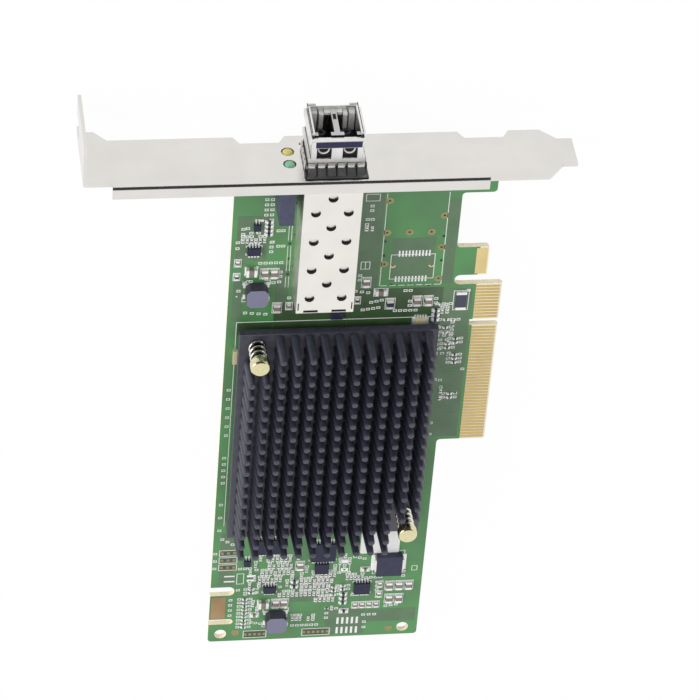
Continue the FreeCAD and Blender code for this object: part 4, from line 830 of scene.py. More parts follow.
# %% [markdown]
# The two indicators are short light pipes with a domed end that stands just proud of the bracket.
# The dome is the rod's front edge, rounded with many segments.

# %% Indicator lenses
DOME = 0.9 * MM
SOLID_SIDES = 8


def add_lens(node, material):
    """A round lens inside the flat-sided rod of the solid model."""
    low, high = box_of(node)
    radius = (high.x - low.x) / 2 * math.cos(math.pi / SOLID_SIDES)
    middle = (low + high) / 2
    lens = add_rod(f"{node}_lens", (middle.x, low.y, middle.z), radius, high.y - low.y, 28,
                   (-math.pi / 2, 0, 0))
    bevel_edges(lens, edge_at(1, high.y), DOME, 6)
    smooth(lens)
    dress(lens, "card", material, [node])


add_lens("yellow_led", yellow_lens)
add_lens("green_led", green_lens)

# %% [markdown]
# Copper under the lacquer. Where the board has a copper plane its lacquer looks darker and greyer, and
# the plane stands a hair higher. Each plane is a thin plate with a chamfered rim, made once and stretched.
# Pads, print and the smallest parts are such plates too.

# %% A thin plate to stretch into planes, pads and print
def plate_pattern(name, rim):
    """A plate one metre each way on the board's surface, with a chamfered upper rim."""
    plate = add_block(name, (-0.5, -0.5, 0), (0.5, 0.5, 1))
    pick(plate, lambda face: face.normal.z > 0.9)
    bpy.ops.mesh.inset(thickness=rim * 0.4, depth=0)
    bpy.ops.transform.translate(value=(0, 0, rim))
    done()
    plate.data.transform(Matrix.Diagonal((1, 1, 1 / (1 + rim), 1)))
    return plate


def about(middle, half):
    """The two limits that lie equally far to either side of a middle."""
    return middle - half, middle + half


def span(x, y, height, level=TOP):
    """The place and stretch of a plate between two X and two Y values in millimetres."""
    middle = ((x[0] + x[1]) / 2 * MM, (y[0] + y[1]) / 2 * MM, level)
    return middle, ((x[1] - x[0]) * MM, (y[1] - y[0]) * MM, height)


def fill(x, y, z):
    """The place and stretch of a plate that fills a box given in millimetres."""
    return span(x, y, (z[1] - z[0]) * MM, z[0] * MM)


def lay(name, places, rim, slot, material, body="card"):
    """Stretch a plate to every place, and dress the lot as one piece."""
    spread(plate_pattern(name, rim), places, name, slot, material, body)


# %% Copper planes
PLANE_HEIGHT = 0.03 * MM
PLANE_RIM = 0.12
# the sides of each plane in millimetres: front left, beside the cage, the empty port, tongue, far end
PLANES = [
    ((-67.6, -60.0), (22.2, 36.4)), ((-67.8, -65.4), (2.8, 15.8)), ((-57.2, -53.9), (8.6, 20.6)),
    ((-38.6, -31.6), (12.0, 42.4)), ((-28.6, -18.0), (15.2, 28.0)),
    ((-15.3, -12.8), (13.0, 40.0)), ((-14.6, -7.4), (-38.6, 11.2)), ((-66.9, -63.2), (-89.4, -70.4)),
    ((-47.4, -36.0), (-96.4, -87.2)), ((-37.5, -27.0), (-109.3, -99.6)), ((-26.8, -13.4), (-105.0, -100.4)),
]
# copper planes between the ports and the heat sink, their lacquer painted darker still as the heat sink's
# shade
SHADED_PLANES = [((-57.2, -38.7), (-2.0, 8.4)), ((-38.6, -14.8), (-2.0, 11.9)), ((-66.2, -57.3), (-2.0, 2.3))]
planes = [span(x, y, PLANE_HEIGHT) for x, y in PLANES]
shaded_planes = [span(x, y, PLANE_HEIGHT) for x, y in SHADED_PLANES]
lay("copper_planes", planes, PLANE_RIM, "board_green", plane_lacquer)
lay("planes_in_painted_shade", shaded_planes, PLANE_RIM, "board_green", plane_lacquer_in_shade)

# %% [markdown]
# Traces leave the card edge side by side and bend together towards the controller.
# One trace is a short plate whose end face is extruded along each stretch of the way.

# %% Traces behind the card edge
TRACE_WIDTH = 0.22 * MM
TRACE_HEIGHT = 0.05 * MM
TRACE_STUB = 0.3 * MM
TRACE_STEPS = [(-2.2, 0), (-2.6, 2.6)]
TRACE_X = -9.0
FIRST_TRACE_Y = -36.5
TRACE_SLOTS = 26

trace = add_block("trace", (0, -TRACE_WIDTH / 2, TOP), (TRACE_STUB, TRACE_WIDTH / 2, TOP + TRACE_HEIGHT))
pick(trace, lambda face: face.normal.x < -0.9)
for along_x, along_y in TRACE_STEPS:
    extrude(along_x * MM, along_y * MM, 0)
done()
# the traces run in fours, with room for two more after each four
trace_places = [(TRACE_X * MM, (FIRST_TRACE_Y + step) * MM, 0)
                for step in range(TRACE_SLOTS) if step % 6 < 4]
spread(trace, trace_places, "edge_traces", "board_green", trace_lacquer)

# %% [markdown]
# A plated hole wears a ring: a disc whose middle is inset and deleted, then given a thickness. A dark disc
# in each hole of the empty port, and in each small hole that leads from one copper layer to the next, is
# painted shade inside the hole.

# %% Rings round the plated holes
PAD_HEIGHT = 0.05 * MM
DRILL = 0.62 * MM
RING = (2.1 * MM, DRILL, PAD_HEIGHT)
LOCATING_RING = (1.5 * MM, 0.8 * MM, PAD_HEIGHT)
BARE_PORT_X = -23.4 * MM
port_pin_holes = [(-30.4, 40.1), (-30.4, 30.0), (-30.4, 19.9), (-16.4, 35.0), (-16.4, 24.9), (-16.4, 14.8)]
port_holes = port_pin_holes + [(-24.8, 30.0), (-19.3, 29.9)]
locating_holes = [(-28.2, 19.4), (-18.5, 19.3)]


def at_level(places, level=0.0):
    """Positions at a level, from X and Y in millimetres."""
    return [(x * MM, y * MM, level) for x, y in places]


def add_ring(name, outside, inside, height, sides=20):
    """A flat ring on the board at the origin."""
    clear_selection()
    bpy.ops.mesh.primitive_circle_add(vertices=sides, radius=outside / 2, fill_type="NGON",
                                      location=(0, 0, TOP))
    ring = settle(name)
    pick(ring, lambda face: True)
    bpy.ops.mesh.inset(thickness=(outside - inside) / 2, depth=0)
    bpy.ops.mesh.delete(type="FACE")
    done()
    thick = ring.modifiers.new("thick", "SOLIDIFY")
    thick.thickness = height
    thick.offset = 1
    bpy.ops.object.modifier_apply(modifier=thick.name)
    return ring


def add_half_ring(name, outside, inside, height):
    """The half of a flat ring on the far side, with its cut closed."""
    ring = add_ring(name, outside, inside, height, 24)
    pick(ring, lambda face: True)
    bpy.ops.mesh.bisect(plane_co=(0, 0, TOP), plane_no=(0, 1, 0), use_fill=True, clear_outer=True)
    done()
    return ring


spread(add_ring("ring", *RING), at_level(port_holes), "plated_rings", "gold", aged_gold)
# the plating comes through to the underside, at the empty port and at the cage
under_places = [(x * MM + shift, y * MM, UNDER - TOP - PAD_HEIGHT)
                for x, y in port_pin_holes for shift in (0, PORT_X - BARE_PORT_X)]
spread(add_ring("under_ring", *RING), under_places, "underside_rings", "gold", aged_gold)
spread(add_half_ring("half_ring", *LOCATING_RING), at_level(locating_holes, PLANE_HEIGHT),
       "locating_crescents", "gold", gold)

# %% Painted shade in the holes, and round copper marks
SHADE_DISC_HEIGHT = 0.01 * MM
SHADE_DISC_ROUNDING = 0.004 * MM
VIA_STRETCH = (1.2, 1.2, 1)
FIDUCIAL_RADIUS = 1.1 * MM
FIDUCIAL_ROUNDING = 0.02 * MM
vias = [(-30.7, 27.2), (-30.7, 22.6), (-16.1, 28.4), (-16.1, 20.6), (-28.2, 13.1), (-23.3, 12.9),
        (-18.7, 12.7), (-54.4, 27.4), (-54.4, 22.6), (-54.4, 17.6)]
fiducial_places = [(-61.6, -107.1), (-20.2, -107.7)]

# a thin dark disc over each hole is painted shade
disc = add_rod("disc", (0, 0, TOP), DRILL / 2, SHADE_DISC_HEIGHT, 20)
bevel_edges(disc, edge_at(2, TOP + SHADE_DISC_HEIGHT), SHADE_DISC_ROUNDING, 1)
hole_shade_places = at_level(port_holes, PLANE_HEIGHT)
hole_shade_places += [(place, VIA_STRETCH) for place in at_level(vias, PLANE_HEIGHT)]
spread(disc, hole_shade_places, "hole_shade_discs", "board_green", drill_shade)
fiducial = add_rod("fiducial", (0, 0, TOP), FIDUCIAL_RADIUS, PAD_HEIGHT, 24)
bevel_edges(fiducial, edge_at(2, TOP + PAD_HEIGHT), FIDUCIAL_ROUNDING, 1)
spread(fiducial, at_level(fiducial_places), "copper_fiducials", "bare_copper", aged_gold)

# %% [markdown]
# Solder lies on flat pads. First come the pads of places that stay empty: the connector of the empty
# port, a double row at the far end and two pairs. The parts add their own pads later.

# %% Pads of places without parts
OVER_PLANE = TOP + PLANE_HEIGHT
PORT_PAD_PITCH = 0.84
PLUG_PAD_PITCH = 1.3
pads = []
for first_x, y, level in ((-26.8, (22.2, 24.1), OVER_PLANE), (-27.2, (14.0, 15.8), TOP)):
    for x in [first_x + PORT_PAD_PITCH * step for step in range(10)]:
        pads.append(span(about(x, 0.2), y, PAD_HEIGHT, level))
for x in [-34.2 + PLUG_PAD_PITCH * step for step in range(5)]:
    for y in ((-105.3, -102.9), (-108.9, -106.5)):
        pads.append(span(about(x, 0.3), y, PAD_HEIGHT, OVER_PLANE))
for x, half, places in (((-59.4, -57.1), 0.35, (-86.2, -87.8)), ((-34.5, -32.6), 0.6, (-82.2, -85.2))):
    pads += [span(x, about(y, half), PAD_HEIGHT) for y in places]
print("pads without parts:", len(pads))

# %% [markdown]
# Where the solid model has blocks for chips and passives, their exact places can be read from it:
# merge the loose triangles, walk over each connected lump and take its box.

# %% Read the places of the small parts from the solid model
def blocks_of(node):
    """Lowest and highest corner of each separate block in a node."""
    mesh = bmesh.new()
    mesh.from_mesh(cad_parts[node].data)
    bmesh.ops.remove_doubles(mesh, verts=mesh.verts, dist=1e-6)
    waiting = set(mesh.verts)
    found = []
    while waiting:
        lump = []
        border = [waiting.pop()]
        while border:
            vert = border.pop()
            lump.append(vert.co.copy())
            for edge in vert.link_edges:
                other = edge.other_vert(vert)
                if other in waiting:
                    waiting.remove(other)
                    border.append(other)
        found.append((Vector([min(co[axis] for co in lump) for axis in range(3)]),
                      Vector([max(co[axis] for co in lump) for axis in range(3)])))
    mesh.free()
    return sorted(found, key=lambda block: tuple(block[0]))


capacitor_blocks = blocks_of("ceramic_capacitors")
resistor_blocks = blocks_of("chip_resistors")
chip_blocks = blocks_of("regulator_chips") + blocks_of("memory_chips")
transistor_blocks = blocks_of("transistors")
inductor_blocks = blocks_of("power_inductors")
choke_block = blocks_of("filter_choke")[0]
sense_block = blocks_of("sense_resistor")[0]
clock_block = blocks_of("oscillator")[0]
print("found", len(capacitor_blocks), "capacitors,", len(resistor_blocks), "resistors,",
      len(chip_blocks), "chips")

# %% [markdown]
# A chip capacitor or resistor is a ceramic brick with tinned ends on two solder pads.
# The bricks of the solid model get ends here, and the many smaller ones are modelled whole, in rows.

# %% Rows of the smallest parts
SMALL_BRICK = (1.0, 0.5, 0.4)
BRICK = (1.6, 0.85, 0.5)
WIDE_BRICK = (2.7, 1.6, 0.7)
LARGE_BRICK = (2.7, 2.2, 1.2)
BLOCK = (3.0, 2.0, 1.0)


def rows(*starts):
    """Places in straight rows, each given by its start, its step and how many, in millimetres."""
    return [(x + step_x * index, y + step_y * index)
            for x, y, step_x, step_y, amount in starts for index in range(amount)]


# small bricks that lie along Y, from the bracket to the far end
small_along = rows(
    (-66.1, 28.7, 1.08, 0, 6), (-35.6, 31.5, 1.4, 0, 2), (-14.6, 4.0, 1.3, 0, 2), (-12.9, -22.8, 0, -2.4, 2),
    (-54.0, -80.5, 1.15, 0, 6), (-53.6, -83.0, 1.15, 0, 6), (-55.4, -85.4, 1.15, 0, 8),
    (-56.0, -87.9, 1.1, 0, 6), (-41.8, -86.7, 1.15, 0, 6), (-44.8, -89.0, 1.15, 0, 8),
    (-32.6, -88.2, 1.0, 0, 5), (-44.6, -91.3, 1.15, 0, 6), (-50.4, -93.5, 1.15, 0, 12),
    (-40.6, -95.9, 1.15, 0, 5), (-46.5, -102.6, 1.05, 0, 3), (-42.2, -102.8, 1.3, 0, 2))
# small bricks that lie along X
small_across = rows(
    (-59.6, -94.6, 0, -1.3, 9), (-33.6, -91.0, 0, -1.3, 2), (-36.0, -91.4, 0, -1.4, 3),
    (-13.4, 1.2, 1.7, -0.1, 2), (-13.4, -1.4, 0, -1.6, 2), (-10.5, -5.2, 0, -1.3, 2),
    (-10.3, -10.6, 0, -1.3, 3), (-12.4, -6.9, 0, -1.3, 2), (-10.5, -23.8, 0, -1.3, 2),
    (-58.1, -91.0, 0, -1.3, 2))
bricks_along = [(-67.0, 21.6), (-67.1, 17.2), (-53.5, 7.2), (-36.4, 8.4)]
bricks_across = [(-28.0, -85.3), (-32.8, -100.5), (-56.8, -100.7)]
# two wider bricks behind the empty port, two large capacitors, and a block right behind the cage
wide_along = [(-28.0, 7.0)]
wide_across = [(-30.6, 10.8)]
large_across = [(-63.5, 18.9), (-54.6, -96.5)]
block_place = (-41.3, 4.0)
print("small parts in rows:", len(small_along) + len(small_across))

# %% [markdown]
# The far end is the busiest, so a loose grid fills it up wherever no part lies yet, except for one open
# field of lacquer. Then all the bricks are laid, every second one in the dark ceramic.

# %% Fill the far end and lay the bricks
FILL_X = (-58.6, -30.0)
FILL_Y = (-101.8, -80.0)
FILL_STEP = (2.5, 2.4)
FILL_CLEAR = 1.05
BRICK_RIM = 0.1


def free_places(x, y, step, taken, clear):
    """Places of a staggered grid where no box lies nearer than a distance, in millimetres."""
    found = []
    for line in range(int((y[1] - y[0]) / step[1])):
        for column in range(int((x[1] - x[0]) / step[0])):
            place = (x[0] + step[0] * (column + 0.5 * (line % 2)), y[1] - step[1] * line)
            if not any(low.x / MM - clear < place[0] < high.x / MM + clear
                       and low.y / MM - clear < place[1] < high.y / MM + clear for low, high in taken):
                found.append(place)
    return found


def brick_box(place, brick, axis):
    """The corners of a brick that lies along X, axis 0, or Y, axis 1."""
    half = Vector((brick[0], brick[1]) if axis == 0 else (brick[1], brick[0])) * MM / 2
    low = Vector((place[0] * MM - half.x, place[1] * MM - half.y, TOP))
    high = Vector((place[0] * MM + half.x, place[1] * MM + half.y, TOP + brick[2] * MM))
    return low, high


def boxes_in(part_rows):
    """The corners of every brick in some rows."""
    return [brick_box(place, brick, axis) for places, brick, axis in part_rows for place in places]


def stretch_of(low, high):
    """The place and stretch of a plate pattern that fills a box."""
    return ((low.x + high.x) / 2, (low.y + high.y) / 2, low.z), high - low


SMALL_ROWS = [(small_along, SMALL_BRICK, 1), (small_across, SMALL_BRICK, 0)]
LARGER_ROWS = [(bricks_along, BRICK, 1), (bricks_across, BRICK, 0), (wide_along, WIDE_BRICK, 1),
               (wide_across, WIDE_BRICK, 0)]
large_boxes = boxes_in([(large_across, LARGE_BRICK, 0)])
solid_boxes = (capacitor_blocks + resistor_blocks + chip_blocks + transistor_blocks + large_boxes
               + inductor_blocks + [choke_block, sense_block])
open_field = (Vector((-45.8, -101.8, 0)) * MM, Vector((-38.6, -95.8, 0)) * MM)
row_boxes = boxes_in(SMALL_ROWS + LARGER_ROWS)
small_along += free_places(FILL_X, FILL_Y, FILL_STEP, solid_boxes + row_boxes + [open_field], FILL_CLEAR)

added_boxes = boxes_in(SMALL_ROWS + LARGER_ROWS)
dark_boxes = added_boxes[::2] + [brick_box(block_place, BLOCK, 0)]
pale_boxes = added_boxes[1::2] + large_boxes
bead = fill((-66.9, -65.7), (-10.8, -6.4), (TOP / MM, 1.9))
lay("small_resistors", [stretch_of(*box) for box in dark_boxes], BRICK_RIM, "navy_ceramic", navy_ceramic)
lay("small_capacitors", [stretch_of(*box) for box in pale_boxes], BRICK_RIM, "tan_ceramic", tan_ceramic)
lay("beige_bead", [bead], BRICK_RIM, "beige_ceramic", beige_ceramic)

# %% [markdown]
# Each end of a brick is a cap of tin a hair larger than the ceramic, and its solder reaches further out.

# %% Tinned ends and solder under every brick
END_SHARE = 0.26
END_PROUD = 0.03 * MM
SOLDER_HEIGHT = 0.12 * MM
PAD_MARGIN = 0.12 * MM
PAD_REACH = 0.18 * MM


def swell(low, high):
    """A box made a hair larger on every side but its foot."""
    return low - Vector((END_PROUD, END_PROUD, 0)), high + Vector((END_PROUD, END_PROUD, END_PROUD))


ends = []
for low, high in added_boxes + large_boxes + capacitor_blocks + resistor_blocks:
    axis = 0 if high.x - low.x > high.y - low.y else 1
    length = (high - low)[axis] * END_SHARE
    for side in (0, 1):
        end_low = low.copy()
        end_high = high.copy()
        if side:
            end_low[axis] = high[axis] - length
        else:
            end_high[axis] = low[axis] + length
        ends.append(stretch_of(*swell(end_low, end_high)))
        foot_low = end_low - Vector((PAD_MARGIN, PAD_MARGIN, 0))
        foot_high = Vector((end_high.x + PAD_MARGIN, end_high.y + PAD_MARGIN, low.z + SOLDER_HEIGHT))
        foot_low[axis] -= PAD_REACH * (1 - side)
        foot_high[axis] += PAD_REACH * side
        pads.append(stretch_of(foot_low, foot_high))
lay("tinned_ends", ends, BRICK_RIM, "tin", tin)

# %% [markdown]
# Chips stand on gull-wing leads. A lead begins as its flat foot; the face towards the chip is extruded
# up the slope and then into the body.

# %% Leads of the chips
LEAD_PITCH = 0.75 * MM
LEAD_WIDTH = 0.32 * MM
LEAD_FOOT = (0.45 * MM, 0.95 * MM)
LEAD_LEVELS = (TOP + 0.03 * MM, TOP + 0.16 * MM)
SMALL_CHIP = 3 * MM
LEAD_PAD = (0.5 * MM, 0.9 * MM, 0.04 * MM)
LEAD_PAD_OUT = 0.75 * MM


def add_lead():
    """A lead whose body side is at Y 0, pointing to +Y."""
    lead = add_block("lead", (-LEAD_WIDTH / 2, LEAD_FOOT[0], LEAD_LEVELS[0]),
                     (LEAD_WIDTH / 2, LEAD_FOOT[1], LEAD_LEVELS[1]))
    pick(lead, lambda face: face.normal.y < -0.9)
    extrude(0, -0.2 * MM, 0.32 * MM)
    extrude(0, -0.3 * MM, 0)
    done()
    return lead


def lead_row(low, high, amount):
    """X places of the leads along one side of a chip."""
    middle = (low.x + high.x) / 2
    pitch = min(LEAD_PITCH, (high.x - low.x - 2 * LEAD_WIDTH) / max(amount - 1, 1))
    return [middle + pitch * (step - (amount - 1) / 2) for step in range(amount)]


front_leads = []
back_leads = []
for low, high in chip_blocks + transistor_blocks:
    is_small = high.x - low.x < SMALL_CHIP
    amount = 2 if is_small else max(int((high.x - low.x) / LEAD_PITCH), 3)
    front_leads += [(x, high.y, 0) for x in lead_row(low, high, amount)]
    back_leads += [(x, low.y, 0) for x in lead_row(low, high, 1 if is_small else amount)]
front = copies(add_lead(), front_leads, "front_leads")
lead = add_lead()
lead.data.transform(Matrix.Rotation(math.pi, 4, "Z"))
back = copies(lead, back_leads, "back_leads")
dress(join([front, back], "chip_leads"), "card", tin)
for places, out in ((front_leads, LEAD_PAD_OUT), (back_leads, -LEAD_PAD_OUT)):
    pads += [((x, y + out, TOP), LEAD_PAD) for x, y, level in places]

# %% [markdown]
# The larger parts have terminals of sheet: a strap down each end of the choke, clasps over the ends of
# the resistor at the tongue and of the oscillator, and pads that peep out under the inductors.

# %% Terminals of the larger parts
STRAP_GAP = 0.02 * MM
STRAP_OUT = 0.4 * MM
CHOKE_PAD_OUT = 1.3 * MM
CLASP_IN = 0.45 * MM
CLASP_OUT = 0.4 * MM
INDUCTOR_PAD = (1.7 * MM, 1.5 * MM, SOLDER_HEIGHT)
CLOCK_LEADS = 5
CLOCK_LEAD = (0.45 * MM, 1.0 * MM, 0.3 * MM)


def across(first, second):
    """The place and stretch of a plate between any two opposite corners."""
    return stretch_of(Vector([min(pair) for pair in zip(first, second)]),
                      Vector([max(pair) for pair in zip(first, second)]))


terminals = []
low, high = choke_block
for x, out in ((low.x, -1), (high.x, 1)):
    terminals.append(across((x + STRAP_GAP * out, low.y + 1.2 * MM, TOP),
                            (x + STRAP_OUT * out, high.y - 1.2 * MM, high.z - 0.3 * MM)))
    pads.append(across((x, low.y + 0.6 * MM, TOP),
                       (x + CHOKE_PAD_OUT * out, high.y - 0.6 * MM, TOP + SOLDER_HEIGHT)))
for low, high in inductor_blocks:
    for x in (low.x + 0.3 * MM, high.x - 0.3 * MM):
        for y in (low.y + 0.9 * MM, high.y - 0.9 * MM):
            pads.append(((x, y, TOP), INDUCTOR_PAD))
for (low, high), axis in ((sense_block, 1), (clock_block, 0)):
    for edge, out in ((low[axis], -1), (high[axis], 1)):
        end_low, end_high = swell(low, high)
        end_low[axis] = edge + CLASP_OUT * out
        end_high[axis] = edge - CLASP_IN * out
        terminals.append(across(end_low, end_high))
low, high = clock_block
clock_pitch = (high.x - low.x) / CLOCK_LEADS
pads += [((low.x + clock_pitch * (step + 0.5), high.y + 0.5 * MM, TOP), CLOCK_LEAD)
         for step in range(CLOCK_LEADS)]
lay("part_terminals", terminals, 0.08, "tin", tin)
lay("solder_pads", pads, 0.3, "tin", solder)

# %% [markdown]
# White print shows where each part belongs. It is ink, so it lies on the lacquer as a thin film:
# frames round the parts, the outline of the empty port and many small open boxes.

# %% Helpers for print
INK = 0.02 * MM
LINE = 0.2
TICK = (0.5, 0.4)
TICK_LINE = 0.22
marks = []


def dash(x, y):
    """A filled mark between two X and two Y values in millimetres."""
    marks.append(span(x, y, INK, OVER_PLANE))


def frame_mark(x, y, line=LINE):
    """An open frame."""
    dash((x[0], x[1]), (y[0], y[0] + line))
    dash((x[0], x[1]), (y[1] - line, y[1]))
    dash((x[0], x[0] + line), (y[0] + line, y[1] - line))
    dash((x[1] - line, x[1]), (y[0] + line, y[1] - line))


def corner_mark(x, y, reach, line=LINE):
    """The four corners of a frame."""
    for edge_x, inward_x in ((x[0], 1), (x[1], -1)):
        for edge_y, inward_y in ((y[0], 1), (y[1], -1)):
            dash(sorted((edge_x, edge_x + reach * inward_x)), sorted((edge_y, edge_y + line * inward_y)))
            dash(sorted((edge_x, edge_x + line * inward_x)), sorted((edge_y, edge_y + reach * inward_y)))


def round_box(low, high, margin):
    """The sides of a box in millimetres, widened by a margin."""
    return ((low.x / MM - margin, high.x / MM + margin), (low.y / MM - margin, high.y / MM + margin))


def tick_box(x, y):
    """A small open box beside a part."""
    frame_mark(about(x, TICK[0]), about(y, TICK[1]), TICK_LINE)


# %% Frames round the parts
# each has its margin in millimetres, then the reach of its corners or the width of its line
for low, high in boxes_in(LARGER_ROWS):
    frame_mark(*round_box(low, high, 0.5))
for low, high in large_boxes:
    corner_mark(*round_box(low, high, 0.4), 0.6)
for index, (x, y) in enumerate(small_along):
    if index % 3 == 0:
        frame_mark(*round_box(*brick_box((x, y), SMALL_BRICK, 1), 0.24), 0.14)
    if index % 4 < 3:
        tick_box(x, y + 1.3)
for x, y in small_across:
    tick_box(x - 1.5, y)
    tick_box(x + 1.5, y)
for low, high in capacitor_blocks:
    frame_mark(*round_box(low, high, 0.45), 0.16)
frame_mark(*round_box(*sense_block, 0.7))
for low, high in inductor_blocks + [choke_block]:
    corner_mark(*round_box(low, high, 0.8), 1.6)
for low, high in chip_blocks:
    corner_mark(*round_box(low, high, 0.45), 0.7)
print("marks round the parts:", len(marks))

# %% Outlines of the ports, the heat sink and empty places
# the sides of the empty port, the dashed line at its back and its connector
for x in (-31.1, -15.65):
    dash(about(x, LINE / 2), (12.9, 42.4))
for step in range(7):
    dash((-30.9 + 2.25 * step, -29.3 + 2.25 * step), (12.8, 13.0))
frame_mark((-28.9, -17.7), (14.9, 22.9))
# two sides of the heat sink, and double lines beside the cage
dash((-66.5, -16.4), (2.2, 2.4))
dash((-66.5, -66.3), (-67.6, 2.4))
for y in ((28.4, 41.0), (18.6, 26.6), (13.4, 16.8)):
    dash((-54.9, -54.75), y)
    dash((-54.15, -54.0), y)
# frames and dashes of places without parts
for x, y in (((-62.2, -60.2), (-89.0, -85.1)), ((-36.4, -32.8), (40.1, 42.4)),
             ((-36.3, -33.9), (18.4, 20.9)), ((-15.6, -14.0), (-86.4, -84.6)),
             ((-35.0, -32.1), (-86.2, -81.2))):
    frame_mark(x, y)
for x, y in (((-65.5, -62.7), (-86.25, -85.75)), ((-65.5, -62.7), (-88.15, -87.65)),
             ((-35.2, -35.0), (18.6, 20.7)), ((-62.3, -61.2), (34.6, 35.3)), ((-67.0, -66.6), (10.6, 11.0))):
    dash(x, y)
print("marks with the outlines:", len(marks))

# %% Small open boxes beside the larger parts
TICK_CLEAR = 0.8
TICK_CLEAR_FAR = 0.85
tick_places = rows(
    # front left, up to the cage
    (-59.3, 41.5, 0, -1.6, 5), (-60.7, 41.5, 0, -1.6, 4), (-66.1, 32.4, 0, -1.6, 2),
    (-67.3, 28.2, 0, -1.9, 2),
    (-58.9, 28.0, 0, -1.5, 3), (-57.4, 31.6, 1.2, 0, 2), (-57.2, 26.7, 1.2, 0, 2), (-61.4, 21.4, 1.3, 0, 5),
    (-56.2, 18.4, 0, -1.4, 2), (-65.0, 15.6, 1.5, 0, 2), (-60.6, 14.6, 1.4, 0.2, 4), (-66.4, 12.6, 0, 0, 1),
    (-64.4, 5.4, 1.7, -0.2, 4), (-53.6, 9.9, 0, 0, 1),
    # round the empty port
    (-34.6, 38.6, 0, -1.4, 2), (-35.5, 34.4, 1.2, 0, 2), (-36.2, 15.0, 0, 1.4, 2),
    (-37.0, 11.4, 1.6, -0.3, 3),
    (-32.8, 7.6, 1.3, 0.3, 3), (-34.8, 5.2, 1.3, 0.2, 4), (-24.4, 11.1, 1.3, 0, 2), (-23.0, 7.6, 0, -1.4, 2),
    (-26.6, 4.6, 1.3, 0, 5),
    # behind the tongue
    (-16.4, 8.2, 0, -1.4, 2), (-15.0, 6.0, 1.3, 0.2, 2), (-8.4, 10.6, 0, 0, 1), (-11.6, 0.2, 0, -1.3, 4),
    (-14.4, -2.9, 1.2, 0, 2), (-7.8, -15.6, 0, 0, 1), (-15.9, -18.6, 1.3, -0.3, 3),
    (-14.5, -33.8, 0, -3.9, 2),
    # along the left edge
    (-67.3, -20.2, 0, -3.1, 6), (-67.4, -43.5, 0, -2.2, 5), (-67.5, -60.0, 0, -4.6, 3),
    (-66.6, -72.4, 1.4, -1.0, 3), (-68.2, -77.6, 0, -2.7, 3),
    # far end
    (-61.4, -83.4, 1.3, 0, 3), (-61.6, -91.2, 0, 0, 1), (-63.4, -94.8, 0, -1.9, 4),
    (-57.0, -91.0, 0, -1.5, 2),
    (-57.6, -103.4, 1.3, -0.3, 4), (-48.4, -96.8, 0, -1.6, 5), (-46.4, -105.2, 1.3, 0, 6),
    (-31.0, -80.6, 1.3, -0.4, 3), (-37.4, -99.4, 0, -1.7, 3), (-30.8, -94.6, 1.3, 0, 4),
    (-27.4, -102.2, 1.5, 0, 3), (-27.0, -104.9, 0, -2.0, 2), (-21.6, -99.2, 1.4, 0.2, 3),
    (-17.6, -86.6, 0, -1.6, 2), (-27.6, -88.4, 1.3, 0, 4), (-24.4, -90.2, 0, -1.4, 3))
all_boxes = solid_boxes + added_boxes + [open_field]
tick_places += free_places((-59.6, -29.0), (-103.0, -84.0), (2.6, 2.2), all_boxes, TICK_CLEAR_FAR)
tick_places += free_places((-65.0, -57.6), (25.2, 32.6), (1.8, 1.5), all_boxes, TICK_CLEAR)
tick_places += free_places((-16.0, -10.0), (-12.4, 6.4), (1.7, 1.5), all_boxes, TICK_CLEAR)
for x, y in tick_places:
    tick_box(x, y)
print("marks with the small boxes:", len(marks))

# %% [markdown]
# Some places for plugs stay empty: a printed frame, a darker field and a row of bare copper pads.

# %% Empty plug places
FIELD_HEIGHT = 0.035 * MM
FIELD_INSET = 0.25
BARE_PAD_X = 0.4
BARE_PAD_Y = 0.45
empty_places = [((-59.5, -53.2), (-109.2, -106.5), 5), ((-43.7, -36.1), (-109.2, -106.6), 6),
                ((-67.2, -62.3), (-78.6, -76.4), 3), ((-67.2, -62.3), (-81.2, -79.0), 3),
                ((-67.2, -62.3), (-83.8, -81.6), 3)]
fields = []
bare_pads = []
for x, y, amount in empty_places:
    frame_mark(x, y)
    fields.append(span((x[0] + FIELD_INSET, x[1] - FIELD_INSET), (y[0] + FIELD_INSET, y[1] - FIELD_INSET),
                       FIELD_HEIGHT))
    pitch = (x[1] - x[0]) / amount
    middle = (y[0] + y[1]) / 2
    for pad in [x[0] + pitch * (step + 0.5) for step in range(amount)]:
        bare_pads.append(span(about(pad, BARE_PAD_X), about(middle, BARE_PAD_Y), PAD_HEIGHT,
                              TOP + FIELD_HEIGHT))
lay("dark_fields", fields, 0.2, "board_green", field_lacquer)
lay("bare_pads", bare_pads, 0.3, "bare_copper", aged_gold)
lay("white_print", marks, 0.2, "sleeve_white", white_ink)

# %% [markdown]
# A paper label lies beside the choke, half under the cooling pins. It is a plate with rounded corners.

# %% Blank label
LABEL_HEIGHT = 0.08 * MM
LABEL_CORNER = 0.6 * MM


def label_paper():
    """White paper with fine fibres."""
    finish = Finish("label_paper", roughness=0.6)
    fibres = finish.noise(0.3 * MM, 4.0, (1, 3, 1))
    finish.colour(fibres, shades((0.86, 0.86, 0.85), 0.03))
    finish.bump(fibres, 0.005 * MM)
    return finish.material


label_place = span((-29.8, -19.4), (-79.5, -71.7), LABEL_HEIGHT)
label = copies(plate_pattern("label", 0.05), [label_place], "blank_label")
bevel_edges(label, lambda edge: abs(edge.verts[0].co.z - edge.verts[1].co.z) > 0.03 * MM, LABEL_CORNER, 3)
dress(label, "card", label_paper())

# %% [markdown]
# The nose of the transceiver takes two fibre plugs. Guides stand on the floor of each port, a cross bar
# ties them to the divider, and a navy strip lies across the roof in front of the two latch windows.

